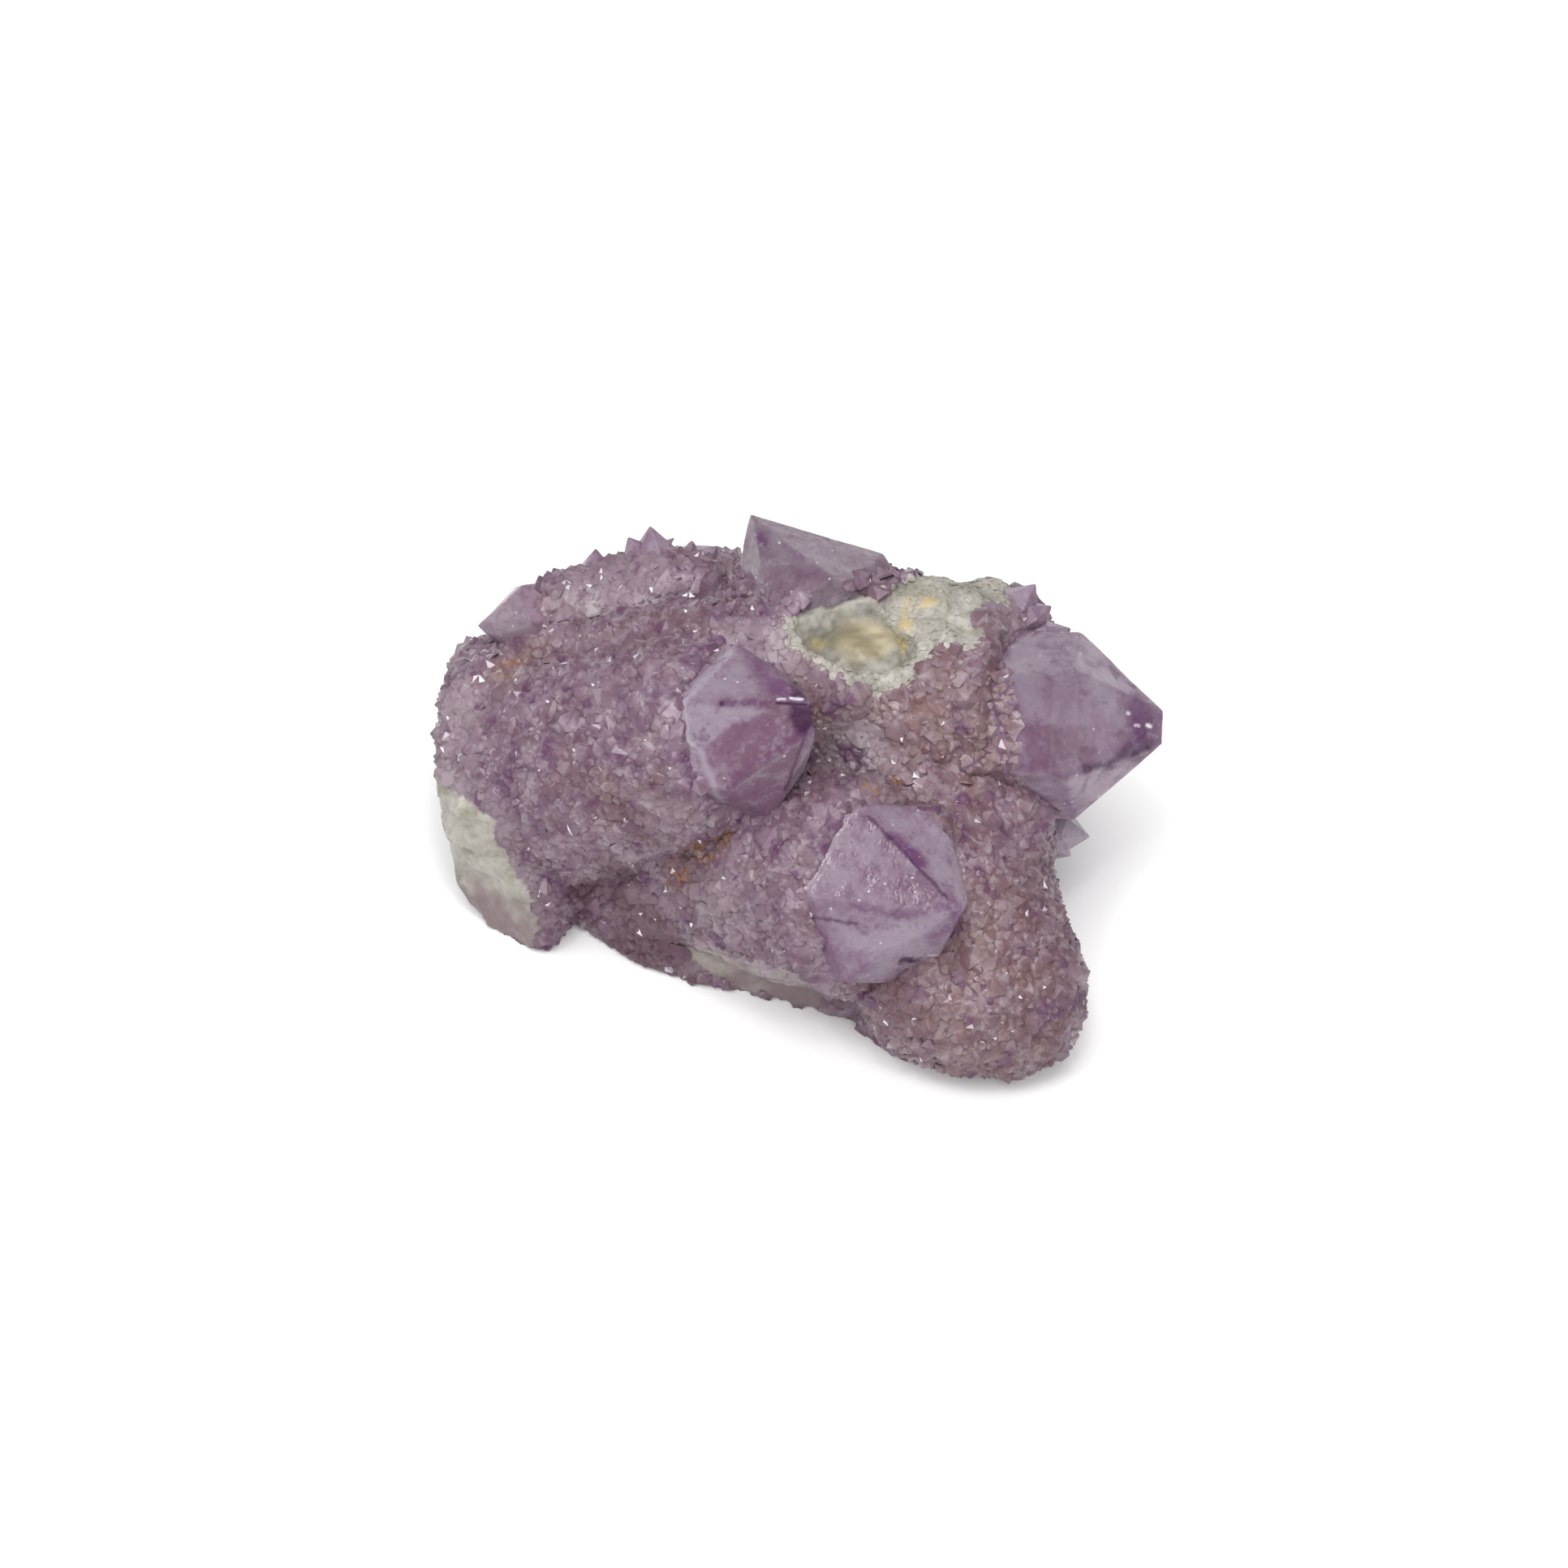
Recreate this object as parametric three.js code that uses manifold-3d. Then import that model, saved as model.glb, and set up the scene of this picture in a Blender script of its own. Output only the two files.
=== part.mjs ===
// A spirit quartz cluster: amethyst candles grown together, each with one clear point and a
// crust of small crystals on its sides, broken from its rock along a flat base.
// Everything has grown together as one natural piece, so it is one mesh.
import * as THREE from "three";
import { ConvexGeometry } from "three/addons/geometries/ConvexGeometry.js";
import { mergeVertices } from "three/addons/utils/BufferGeometryUtils.js";
import Module from "manifold-3d";

const wasm = await Module();
wasm.setup();

// Driving dimensions, in millimetres and degrees.
const VIEW_ELEVATION = 50; // the cluster is laid out as it is seen from this far above the table
const VIEW_CENTRE_HEIGHT = 30; // height above the table of the layout's middle
const VIEW_CENTRE_BACK = -3; // how far the layout's middle lies behind the origin
const POINT_FACE_TILT = 38.2; // between a quartz point's face and the prism face below it
const CRUST_SPACING = 4.3; // between the small crystals of the crust
const CRUST_RADIUS = 2.9;
const CRUST_HEIGHT = 1.9; // how far a small crystal stands out
const CRUST_ROOT = 1.2; // how deep it is rooted
const CRUST_TRIES = 9000; // places tried for them
const RING_CORNERS = 9; // round the body of a candle
const BASE_CLEARANCE = 2.2; // no small crystal starts lower than this above the table
const FAR = 200; // larger than the cluster, for cutting blocks
const PARALLEL = 1e-6; // planes nearer to parallel than this share no corner

const TILT = THREE.MathUtils.degToRad(90 - VIEW_ELEVATION);
const X_AXIS = new THREE.Vector3(1, 0, 0);
const NO_DROPS = [0, 0, 0, 0, 0, 0];
const Z_AXIS = new THREE.Vector3(0, 0, 1);

// A direction given across, up and towards the viewer, as the cluster's own direction.
function along([across, up, toward]) {
  return new THREE.Vector3(across, up, toward).applyAxisAngle(X_AXIS, TILT);
}

// A place given across, up and towards the viewer, as the cluster's own place.
function at(place) {
  return along(place).add(new THREE.Vector3(0, VIEW_CENTRE_BACK, VIEW_CENTRE_HEIGHT));
}

// The same numbers come out on every run.
let seed = 20;
function random() {
  seed = (seed * 16807) % 2147483647;
  return seed / 2147483647;
}
const between = (low, high) => low + (high - low) * random();

// A closed geometry as a solid that can be joined and cut.
function solid(geometry) {
  const bare = geometry.clone();
  bare.deleteAttribute("normal");
  bare.deleteAttribute("uv");
  const merged = mergeVertices(bare, 1e-5);
  return new wasm.Manifold(
    new wasm.Mesh({
      numProp: 3,
      vertProperties: new Float32Array(merged.attributes.position.array),
      triVerts: new Uint32Array(merged.index.array),
    }),
  );
}

// A solid's surface as a geometry.
function geometryOf(made) {
  const { vertProperties, triVerts, numProp } = made.getMesh();
  const positions = new Float32Array((vertProperties.length / numProp) * 3);
  for (let i = 0; i < positions.length / 3; i++)
    positions.set(vertProperties.subarray(i * numProp, i * numProp + 3), i * 3);
  return new THREE.BufferGeometry()
    .setAttribute("position", new THREE.BufferAttribute(positions, 3))
    .setIndex(new THREE.BufferAttribute(new Uint32Array(triVerts), 1));
}

const hull = (points) => solid(new ConvexGeometry(points));
const joined = (solids) => wasm.Manifold.union(solids);

// A candle's own axes: along it, up the picture, and out towards the viewer.
function axesOf(lean) {
  const out = along([0, 0, 1]);
  const axis = along(lean).normalize();
  const near = out.clone().addScaledVector(axis, -out.dot(axis)).normalize();
  const side = new THREE.Vector3().crossVectors(near, axis);
  return { axis, near, side };
}

// The direction across a candle at an angle, which runs from up the picture towards the viewer.
function radial({ near, side }, degrees) {
  const angle = THREE.MathUtils.degToRad(degrees);
  return side.clone().multiplyScalar(Math.cos(angle)).addScaledVector(near, Math.sin(angle));
}

// The corners of the space that lies behind every one of the planes.
function cornersBehind(planes) {
  const corners = [];
  const inside = (p) => planes.every((plane) => plane.distanceToPoint(p) < 1e-4);
  for (let i = 0; i < planes.length; i++)
    for (let j = i + 1; j < planes.length; j++)
      for (let k = j + 1; k < planes.length; k++) {
        const m = new THREE.Matrix3().set(
          ...planes[i].normal.toArray(),
          ...planes[j].normal.toArray(),
          ...planes[k].normal.toArray(),
        );
        if (Math.abs(m.determinant()) < PARALLEL) continue;
        const offsets = new THREE.Vector3(
          -planes[i].constant,
          -planes[j].constant,
          -planes[k].constant,
        );
        const corner = offsets.applyMatrix3(m.invert());
        if (inside(corner)) corners.push(corner);
      }
  return corners;
}

// The planes of a clear quartz point: six prism faces, six point faces and a hidden end.
// A face that is dropped lies lower, and so takes more of the point.
function pointPlanes({ tip, lean, turn, apothem, drops, length }) {
  const axes = axesOf(lean);
  const top = at(tip);
  const tilt = THREE.MathUtils.degToRad(POINT_FACE_TILT);
  const planes = [];
  const face = (normal, distance) =>
    planes.push(new THREE.Plane(normal, -normal.dot(top) - distance));
  for (let k = 0; k < 6; k++) {
    const out = radial(axes, turn + 60 * k);
    face(out, apothem[k % apothem.length]);
    const slope = out.clone().multiplyScalar(Math.cos(tilt)).addScaledVector(axes.axis, Math.sin(tilt));
    face(slope, -drops[k]);
  }
  face(axes.axis.clone().negate(), length);
  return planes;
}

// The crusted body of a candle: rings of corners at distances behind its tip.
function bodyPoints({ tip, lean, bodyLean, turn, shift, rings }) {
  const axes = axesOf(bodyLean ?? lean);
  const top = at(tip).add(along(shift));
  const points = [];
  for (const [behind, radius] of rings)
    for (let k = 0; k < RING_CORNERS; k++) {
      const out = radial(axes, turn + 30 + (360 / RING_CORNERS) * k);
      points.push(
        top.clone().addScaledVector(axes.axis, -behind).addScaledVector(out, radius * between(0.97, 1.04)),
      );
    }
  return points;
}

// The candles. A tip and a lean are given across, up and towards the viewer. turn is the
// angle of the first face, drops lower the six faces of the point, a ring is a distance
// behind the tip with the body's radius there, and shift and bodyLean set the body's axis off
// the point's.
const CANDLES = {
  left: {
    tip: [5.4, 8.6, 9.2],
    lean: [0.75, 0.16, 0.64],
    turn: 30,
    apothem: [9.3],
    drops: [0.2, 1.6, 0.4, 0, 1.6, 0],
    length: 26,
    shift: [0, 0, 0],
    rings: [[14.4, 10], [15.6, 11.4], [22, 12.6], [38, 13.9], [53, 13.6]],
  },
  front: {
    tip: [21.3, -15.4, 13.2],
    lean: [0.56, -0.12, 0.82],
    turn: 8,
    apothem: [10.9],
    drops: [0, 0.3, 0, 0, 0, 0],
    length: 24,
    shift: [1.3, -0.4, -0.8],
    bodyLean: [0.66, -0.14, 0.73],
    rings: [[17.5, 11.4], [19.5, 13], [29, 13.6], [43, 13]],
  },
  right: {
    tip: [49.9, 6.8, -12],
    lean: [0.99, -0.03, 0.14],
    turn: 30,
    apothem: [10.2],
    drops: [0.2, 1.7, 0.4, 0.4, 1.7, 0.3],
    length: 42,
    shift: [0, 2.6, -1],
    rings: [[20.6, 10.8], [22, 12.8], [30, 13.9], [46, 13.4], [60, 11]],
  },
  back: {
    tip: [-4.4, 34.9, -12],
    lean: [-0.5, 0.84, 0.2],
    turn: 30,
    apothem: [9.8],
    drops: [0.4, 0.2, 1.0, 1.2, 0.6, 0.4],
    length: 26,
    shift: [0, 0, 0],
    rings: [[13.4, 10], [15, 11], [24, 11.2], [36, 11]],
  },
  small_left: {
    tip: [-38.8, 19.6, -22],
    lean: [-0.98, -0.1, 0.16],
    turn: 0,
    apothem: [4.6],
    drops: [0.2, 0.4, 0.1, 0.2, 0.1, 0.3],
    length: 14,
    shift: [0, 0, 0],
    rings: [[7.5, 4.5], [9.5, 5.3], [24, 6], [34, 6]],
  },
};

// Rounded masses with no clear point, each the hull of a few balls: [across, up, toward, radius].
const MASSES = {
  front_lobe: [
    [19, -4, -15, 10.6], [19.6, -15, -9, 11.4], [19, -24.5, -6.6, 9.8], [23.6, -24.8, -6.6, 11.2],
    [27.2, -25.9, -7.4, 10.2],
  ],
  right_shoulder: [[14.6, 17.8, -17, 8.6], [20, 16.5, -17, 9.4], [26, 15.6, -17, 9], [14, 4, -15, 10.4]],
  under_right: [[23, 2, -17, 10], [24.6, -7.4, -13, 8.8]],
  back_ridge: [[-25, 20, -26, 6.4], [-12, 22.4, -24, 6.6], [-16, 23.4, -27, 6.2]],
  back_valley: [[-30, 13, -24, 7], [-7, 13.4, -11.4, 9.4], [5, 13.6, -10.6, 9]],
  middle: [[-8, 8, -22, 14], [12, 14, -18, 9.6], [0, 18, -22, 9.6]],
  left_foot: [[-33.1, -10.5, -21.5, 7.9], [-32.3, -14.9, -22.6, 5.9]],
  left_end: [[-35.2, 9.4, -20, 7.9], [-34.4, 12.6, -21.4, 6.8], [-33.8, -1, -19, 8.4], [-30, 2, -20, 8]],
};

// Small crystals that stand clear of the crust: tip, lean and radius.
const SMALL_POINTS = [
  { tip: [-16.8, 32.4, -25], lean: [-0.15, 0.95, 0.2], radius: 3.2 },
  { tip: [-8.2, 29.8, -24], lean: [0.7, 0.6, 0.2], radius: 2.1 },
  { tip: [-11.5, 30.6, -24.5], lean: [0.1, 0.9, 0.2], radius: 2.6 },
  { tip: [-19.6, 31, -25.4], lean: [-0.5, 0.85, 0.2], radius: 2.4 },
  { tip: [-23.6, 29.6, -26], lean: [0, 1, 0.1], radius: 1.8 },
  { tip: [-21.6, 27.6, -25], lean: [-0.5, 0.8, 0.3], radius: 1.8 },
  { tip: [31.4, 25, -17], lean: [0.6, 0.8, 0.2], radius: 2.8 },
  { tip: [33.4, 22.2, -16.4], lean: [0.8, 0.5, 0.2], radius: 2 },
  { tip: [35.8, 19.4, -16], lean: [0.85, 0.4, 0.2], radius: 2.4 },
  { tip: [12.6, 1, -3], lean: [0.6, 0.6, 0.6], radius: 2.4 },
  { tip: [9.6, -0.4, -3], lean: [-0.2, 0.7, 0.6], radius: 2 },
  { tip: [38.2, -6.6, -18], lean: [0.95, -0.15, 0.2], radius: 2.7 },
  { tip: [35.6, -4.8, -17], lean: [0.8, 0.2, 0.4], radius: 2 },
  { tip: [35.8, -9, -17], lean: [0.8, -0.5, 0.3], radius: 2.3 },
];

// A mass as the hull of coarse balls.
function massOf(balls) {
  const points = balls.flatMap(([across, up, toward, radius]) => {
    const ball = new THREE.IcosahedronGeometry(radius, 1).getAttribute("position");
    const centre = at([across, up, toward]);
    return Array.from({ length: ball.count }, (_, i) =>
      new THREE.Vector3().fromBufferAttribute(ball, i).add(centre),
    );
  });
  return hull(points);
}

// The broken roots that join the candles under the crust, as footprints on the table: [x, y].
const ROOT_TOP_SHARE = 0.8; // of the footprint, about its own middle
const ROOTS = [
  {
    height: 19,
    footprint: [
      [-29, 2.4], [-24.5, -1.6], [-18, -6.8], [-12, -9.4], [-4, -10.8], [4, -14.6], [12, -16.6], [26, -17],
      [32, -10], [33, 2], [31, 12], [20, 22], [2, 27], [-18, 28], [-31, 20],
    ],
  },
  {
    height: 8,
    footprint: [[9.5, -17.5], [13.5, -21.5], [19, -23.6], [28, -23], [32, -16], [30, -6], [12, -6]],
  },
];
function rootBlock({ height, footprint }) {
  const middle = footprint
    .reduce((sum, [x, y]) => sum.add(new THREE.Vector2(x, y)), new THREE.Vector2())
    .divideScalar(footprint.length);
  const points = footprint.flatMap(([x, y]) => {
    const top = new THREE.Vector2(x, y).sub(middle).multiplyScalar(ROOT_TOP_SHARE).add(middle);
    return [
      new THREE.Vector3(x, y, -2),
      new THREE.Vector3(x, y, height / 4),
      new THREE.Vector3(top.x, top.y, height),
    ];
  });
  return hull(points);
}

// A block that takes away everything in front of a plane through a place.
function beyond(place, facing) {
  const block = new THREE.BoxGeometry(FAR, FAR, FAR).translate(0, 0, FAR / 2);
  block.applyQuaternion(new THREE.Quaternion().setFromUnitVectors(Z_AXIS, facing.clone().normalize()));
  return solid(block.translate(...place.toArray()));
}

// The pit where a crystal has broken away, as levels: [height, half length, half width].
const PIT_CENTRE = [9.4, 13.9]; // x and y
const PIT_LEVELS = [[44, 9.6, 6], [39, 8.2, 4.7], [34, 6, 3.5], [31.5, 3.4, 1.8]];
function pit() {
  const points = PIT_LEVELS.flatMap(([height, long, wide]) =>
    Array.from({ length: 8 }, (_, k) => {
      const angle = (k / 8) * 2 * Math.PI;
      return new THREE.Vector3(
        PIT_CENTRE[0] + long * Math.cos(angle) * between(0.9, 1.1),
        PIT_CENTRE[1] + wide * Math.sin(angle) * between(0.9, 1.1),
        height,
      );
    }),
  );
  return hull(points);
}

// The flat broken face at the left end.
const LEFT_BREAK = { place: [-34.4, -9.8, -13.6], facing: [-0.6, -0.56, 0.57] };

const clearPoints = Object.values(CANDLES).map((candle) => pointPlanes(candle));
const bodies = Object.values(CANDLES).map((candle) => hull(bodyPoints(candle)));
const masses = Object.values(MASSES).map(massOf);

function core() {
  const rough = joined([...bodies, ...masses, ...ROOTS.map(rootBlock)]);
  const broken = rough.subtract(beyond(at(LEFT_BREAK.place), along(LEFT_BREAK.facing)));
  const pointed = joined([broken, ...clearPoints.map((planes) => hull(cornersBehind(planes)))]);
  return pointed.subtract(pit()).subtract(beyond(new THREE.Vector3(), new THREE.Vector3(0, 0, -1)));
}

const body = core();
const bodyShape = geometryOf(body);

// Where the quartz is broken or bare and no crust has grown: [across, up, toward, radius].
const BARE = [
  [12, 18.5, -1, 9], [20, 22, -4, 6.5], [23.5, 18, -4, 5.5], [-6, -22, -10, 4], [2, -25, -8, 4],
];

const insideOf = (planes, p, gap) => planes.every((plane) => plane.distanceToPoint(p) < gap);

function crustGrowsAt(p, normal) {
  if (p.z < BASE_CLEARANCE) return false;
  if (clearPoints.some((planes) => insideOf(planes, p, 0.7))) return false;
  if (BARE.some(([x, y, z, radius]) => p.distanceTo(at([x, y, z])) < radius)) return false;
  const facing = along(LEFT_BREAK.facing).normalize();
  const offBreak = Math.abs(facing.dot(p.clone().sub(at(LEFT_BREAK.place))));
  return !(offBreak < 0.4 && facing.dot(normal) > 0.9);
}

// Places for the crust's crystals, spread evenly at random over the body.
function crustPlaces(geometry) {
  const index = geometry.index.array;
  const corner = (i) => new THREE.Vector3().fromBufferAttribute(geometry.attributes.position, index[i]);
  const faces = [];
  let area = 0;
  for (let i = 0; i < index.length; i += 3) {
    const face = new THREE.Triangle(corner(i), corner(i + 1), corner(i + 2));
    area += face.getArea();
    faces.push({ face, upTo: area });
  }
  const places = [];
  for (let tries = 0; tries < CRUST_TRIES; tries++) {
    const pick = random() * area;
    const { face } = faces.find(({ upTo }) => upTo >= pick);
    const [r, s] = [Math.sqrt(random()), random()];
    const p = new THREE.Vector3()
      .addScaledVector(face.a, 1 - r)
      .addScaledVector(face.b, r * (1 - s))
      .addScaledVector(face.c, r * s);
    const normal = face.getNormal(new THREE.Vector3());
    if (places.every((other) => other.p.distanceTo(p) > CRUST_SPACING) && crustGrowsAt(p, normal))
      places.push({ p, normal });
  }
  return places;
}

// One six-sided crystal of the crust, rooted in the body.
function crustCrystal({ p, normal }) {
  const size = between(0.8, 1.25);
  const [radius, height] = [CRUST_RADIUS * size, CRUST_HEIGHT * size + CRUST_ROOT];
  const crystal = new THREE.ConeGeometry(radius, height, 6).translate(0, height / 2 - CRUST_ROOT, 0);
  crystal.rotateY(between(0, Math.PI));
  const astray = new THREE.Vector3(between(-0.3, 0.3), between(-0.3, 0.3), between(-0.2, 0.3));
  const way = normal.clone().add(astray);
  crystal.applyQuaternion(
    new THREE.Quaternion().setFromUnitVectors(new THREE.Vector3(0, 1, 0), way.normalize()),
  );
  return solid(crystal.translate(...p.toArray()));
}

// A small crystal that stands clear of the crust.
function smallPoint({ tip, lean, radius }) {
  const apothem = [radius * 0.87];
  return hull(cornersBehind(pointPlanes({ tip, lean, turn: 15, apothem, drops: NO_DROPS, length: 7 })));
}

const crust = [...crustPlaces(bodyShape).map(crustCrystal), ...SMALL_POINTS.map(smallPoint)];
// The outside of a solid, with any pocket sealed inside it filled up.
function withoutPockets(made) {
  const bodies = made.decompose();
  return bodies.reduce((largest, next) => (next.volume() > largest.volume() ? next : largest));
}

const floor = beyond(new THREE.Vector3(), new THREE.Vector3(0, 0, -1));
const whole = withoutPockets(wasm.Manifold.union([body, ...crust]).subtract(floor));

const mesh = new THREE.Mesh(
  geometryOf(whole),
  new THREE.MeshStandardMaterial({ color: 0x8c7982, roughness: 0.45, metalness: 0 }),
);
mesh.name = "quartz_cluster";

const cluster = new THREE.Group();
cluster.add(mesh);
export default cluster;
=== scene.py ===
"""Spirit quartz cluster: amethyst candles with clear points, their crust of small crystals,
and the pale places where the quartz is broken, on a plain pale floor."""

from __future__ import annotations

import logging
import math
from collections.abc import Iterable, Sequence
from dataclasses import dataclass, field, replace
from enum import Enum
from itertools import combinations

import bmesh
import bpy
import numpy as np
from mathutils import Matrix, Vector, noise
from mathutils.bvhtree import BVHTree


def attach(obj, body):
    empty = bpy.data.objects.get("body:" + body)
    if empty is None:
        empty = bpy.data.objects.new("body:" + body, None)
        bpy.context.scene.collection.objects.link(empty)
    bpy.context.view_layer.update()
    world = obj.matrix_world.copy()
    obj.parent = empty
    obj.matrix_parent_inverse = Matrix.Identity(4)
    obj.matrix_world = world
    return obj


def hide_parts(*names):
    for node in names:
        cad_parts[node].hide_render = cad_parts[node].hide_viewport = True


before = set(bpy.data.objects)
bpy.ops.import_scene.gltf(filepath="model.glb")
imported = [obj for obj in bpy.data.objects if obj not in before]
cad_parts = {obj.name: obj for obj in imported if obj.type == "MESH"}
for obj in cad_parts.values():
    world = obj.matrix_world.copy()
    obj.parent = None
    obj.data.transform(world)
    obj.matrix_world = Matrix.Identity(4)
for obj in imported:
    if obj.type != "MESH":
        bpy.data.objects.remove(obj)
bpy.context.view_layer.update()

log = logging.getLogger("spirit_quartz")

MM = 0.001
NODE = "quartz_cluster"
BODY = "root"
SEED = 12
PARALLEL = 1e-6  # planes nearer to parallel than this share no corner
NEAR = 1e-4  # corners nearer than this, in mm, are one
TINY = 1e-12  # keeps a length of nothing from dividing by nothing
FLAT = 0.5  # faces that turn by less than this, in degrees, are one

Triple = tuple[float, float, float]
Pair = tuple[float, float]
Colour = tuple[float, float, float, float]
Form = tuple[np.ndarray, list[list[int]]]  # the corners of a solid, and the corners of each face
Value = bpy.types.NodeSocket | float | Sequence[float]


def tint(red: int, green: int, blue: int) -> Colour:
    """Turns a colour read off a screen into the linear one that a shader takes.

    Args:
        red: The red part, from 0 to 255.
        green: The green part, from 0 to 255.
        blue: The blue part, from 0 to 255.

    Returns:
        The linear colour, with full alpha.
    """

    def linear(part: int) -> float:
        """One part of the colour, as a share of the light."""
        share = part / 255
        return share / 12.92 if share <= 0.04045 else ((share + 0.055) / 1.055) ** 2.4

    return (linear(red), linear(green), linear(blue), 1.0)


@dataclass(frozen=True)
class Layout:
    """Places given across, up and towards the camera, in mm, as the cluster lies in the photo."""

    elevation: float = 50.0
    lift: float = 30.0
    back: float = -3.0

    @property
    def turn(self) -> np.ndarray:
        """The rotation from the layout to the cluster's own frame.

        Returns:
            A matrix of three rows.
        """
        angle = math.radians(90 - self.elevation)
        cos, sin = math.cos(angle), math.sin(angle)
        return np.array([[1, 0, 0], [0, cos, -sin], [0, sin, cos]])

    @property
    def middle(self) -> np.ndarray:
        """The layout's own middle in the cluster's frame."""
        return np.array([0.0, self.back, self.lift])

    def way(self, direction: Sequence[float]) -> np.ndarray:
        """A direction of the layout, in the cluster's frame."""
        return self.turn @ np.asarray(direction, float)

    def place(self, spot: Sequence[float]) -> np.ndarray:
        """A place of the layout, in the cluster's frame."""
        return self.way(spot) + self.middle

    def seen(self, points: np.ndarray) -> np.ndarray:
        """Points of the cluster's frame, as the layout has them."""
        return (points - self.middle) @ self.turn


LAYOUT = Layout()
TOWARD = LAYOUT.way((0, 0, 1))


def unit(vector: np.ndarray) -> np.ndarray:
    """The vector, or each row of an array of them, at length 1."""
    return vector / np.linalg.norm(vector, axis=-1, keepdims=True)


@dataclass(frozen=True)
class Axes:
    """A crystal's own directions: along it, out towards the camera, and up the picture."""

    along: np.ndarray
    near: np.ndarray
    side: np.ndarray

    @classmethod
    def of(cls, lean: Triple) -> Axes:
        """The directions of a crystal that leans a given way in the layout.

        Args:
            lean: The way it points: across, up and towards the camera.

        Returns:
            Its three directions, in the cluster's frame.
        """
        along = unit(LAYOUT.way(lean))
        near = unit(TOWARD - along * (TOWARD @ along))
        return cls(along, near, np.cross(near, along))

    def radial(self, degrees: float) -> np.ndarray:
        """The direction across the crystal at an angle from up the picture towards the camera."""
        angle = math.radians(degrees)
        return self.side * math.cos(angle) + self.near * math.sin(angle)


@dataclass(frozen=True)
class QuartzPoint:
    """A six-sided quartz crystal with its point, as the planes that bound it. Sizes in mm."""

    tip: Triple
    lean: Triple
    turn: float
    apothem: float
    drops: tuple[float, ...]
    length: float
    face_tilt: float = 38.2

    @property
    def axes(self) -> Axes:
        """The crystal's own directions."""
        return Axes.of(self.lean)

    def planes(self, inset: float = 0.0) -> tuple[np.ndarray, np.ndarray]:
        """The planes of its six sides, six point faces and hidden end.

        Args:
            inset: How far each plane is moved inwards.

        Returns:
            The planes' outward normals, and their distances from the frame's origin.
        """
        axes, top = self.axes, LAYOUT.place(self.tip)
        tilt = math.radians(self.face_tilt)
        normals, offsets = [], []
        for k in range(6):
            out = axes.radial(self.turn + 60 * k)
            slope = out * math.cos(tilt) + axes.along * math.sin(tilt)
            normals += [out, slope]
            offsets += [out @ top + self.apothem - inset, slope @ top - self.drops[k] - inset]
        normals.append(-axes.along)
        offsets.append(-axes.along @ top + self.length - inset)
        return np.array(normals), np.array(offsets)

    def corners(self, inset: float = 0.0) -> np.ndarray:
        """Every corner where three of its planes meet.

        Args:
            inset: How far each plane is moved inwards.

        Returns:
            The corners, one to a row.
        """
        normals, offsets = self.planes(inset)
        found = []
        for trio in combinations(range(len(offsets)), 3):
            rows = normals[list(trio)]
            if abs(np.linalg.det(rows)) < PARALLEL:
                continue
            corner = np.linalg.solve(rows, offsets[list(trio)])
            if np.all(normals @ corner <= offsets + NEAR):
                found.append(corner)
        return np.array(found)

    def holds(self, points: np.ndarray, gap: float) -> np.ndarray:
        """Which points lie inside it, or outside it by less than a gap."""
        normals, offsets = self.planes()
        return np.all(points @ normals.T < offsets + gap, axis=1)


@dataclass(frozen=True)
class Candle:
    """A quartz point and the crusted body behind it. A ring is a distance behind the tip and a radius."""

    point: QuartzPoint
    rings: tuple[Pair, ...]
    shift: Triple = (0, 0, 0)
    body_lean: Triple | None = None
    ring_corners: int = 14

    @property
    def axes(self) -> Axes:
        """The body's own directions, which the point's may differ from."""
        return Axes.of(self.body_lean or self.point.lean)

    @property
    def top(self) -> np.ndarray:
        """The place that its rings are measured back from."""
        return LAYOUT.place(self.point.tip) + LAYOUT.way(self.shift)

    def body_points(self) -> np.ndarray:
        """The corners of the rings of its body.

        Returns:
            The corners, one to a row.
        """
        axes, top = self.axes, self.top
        turns = [self.point.turn + 360 / self.ring_corners * k for k in range(self.ring_corners)]
        return np.array(
            [
                top - axes.along * behind + axes.radial(turn) * radius
                for behind, radius in self.rings
                for turn in turns
            ]
        )

    def spine(self) -> tuple[np.ndarray, np.ndarray, float]:
        """The line down its middle, for telling whose crust a place has.

        Returns:
            The line's two ends and the body's mean radius.
        """
        along, top = self.axes.along, self.top
        radius = float(np.mean([radius for _, radius in self.rings]))
        return top - along * self.rings[0][0], top - along * self.rings[-1][0], radius


class Host(Enum):
    """The part of the cluster that a stretch of crust grows on."""

    LEFT = "left_candle"
    FRONT = "front_candle"
    RIGHT = "right_candle"
    BACK = "back_candle"
    RIDGE = "back_ridge"
    LOBE = "front_lobe"


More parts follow.
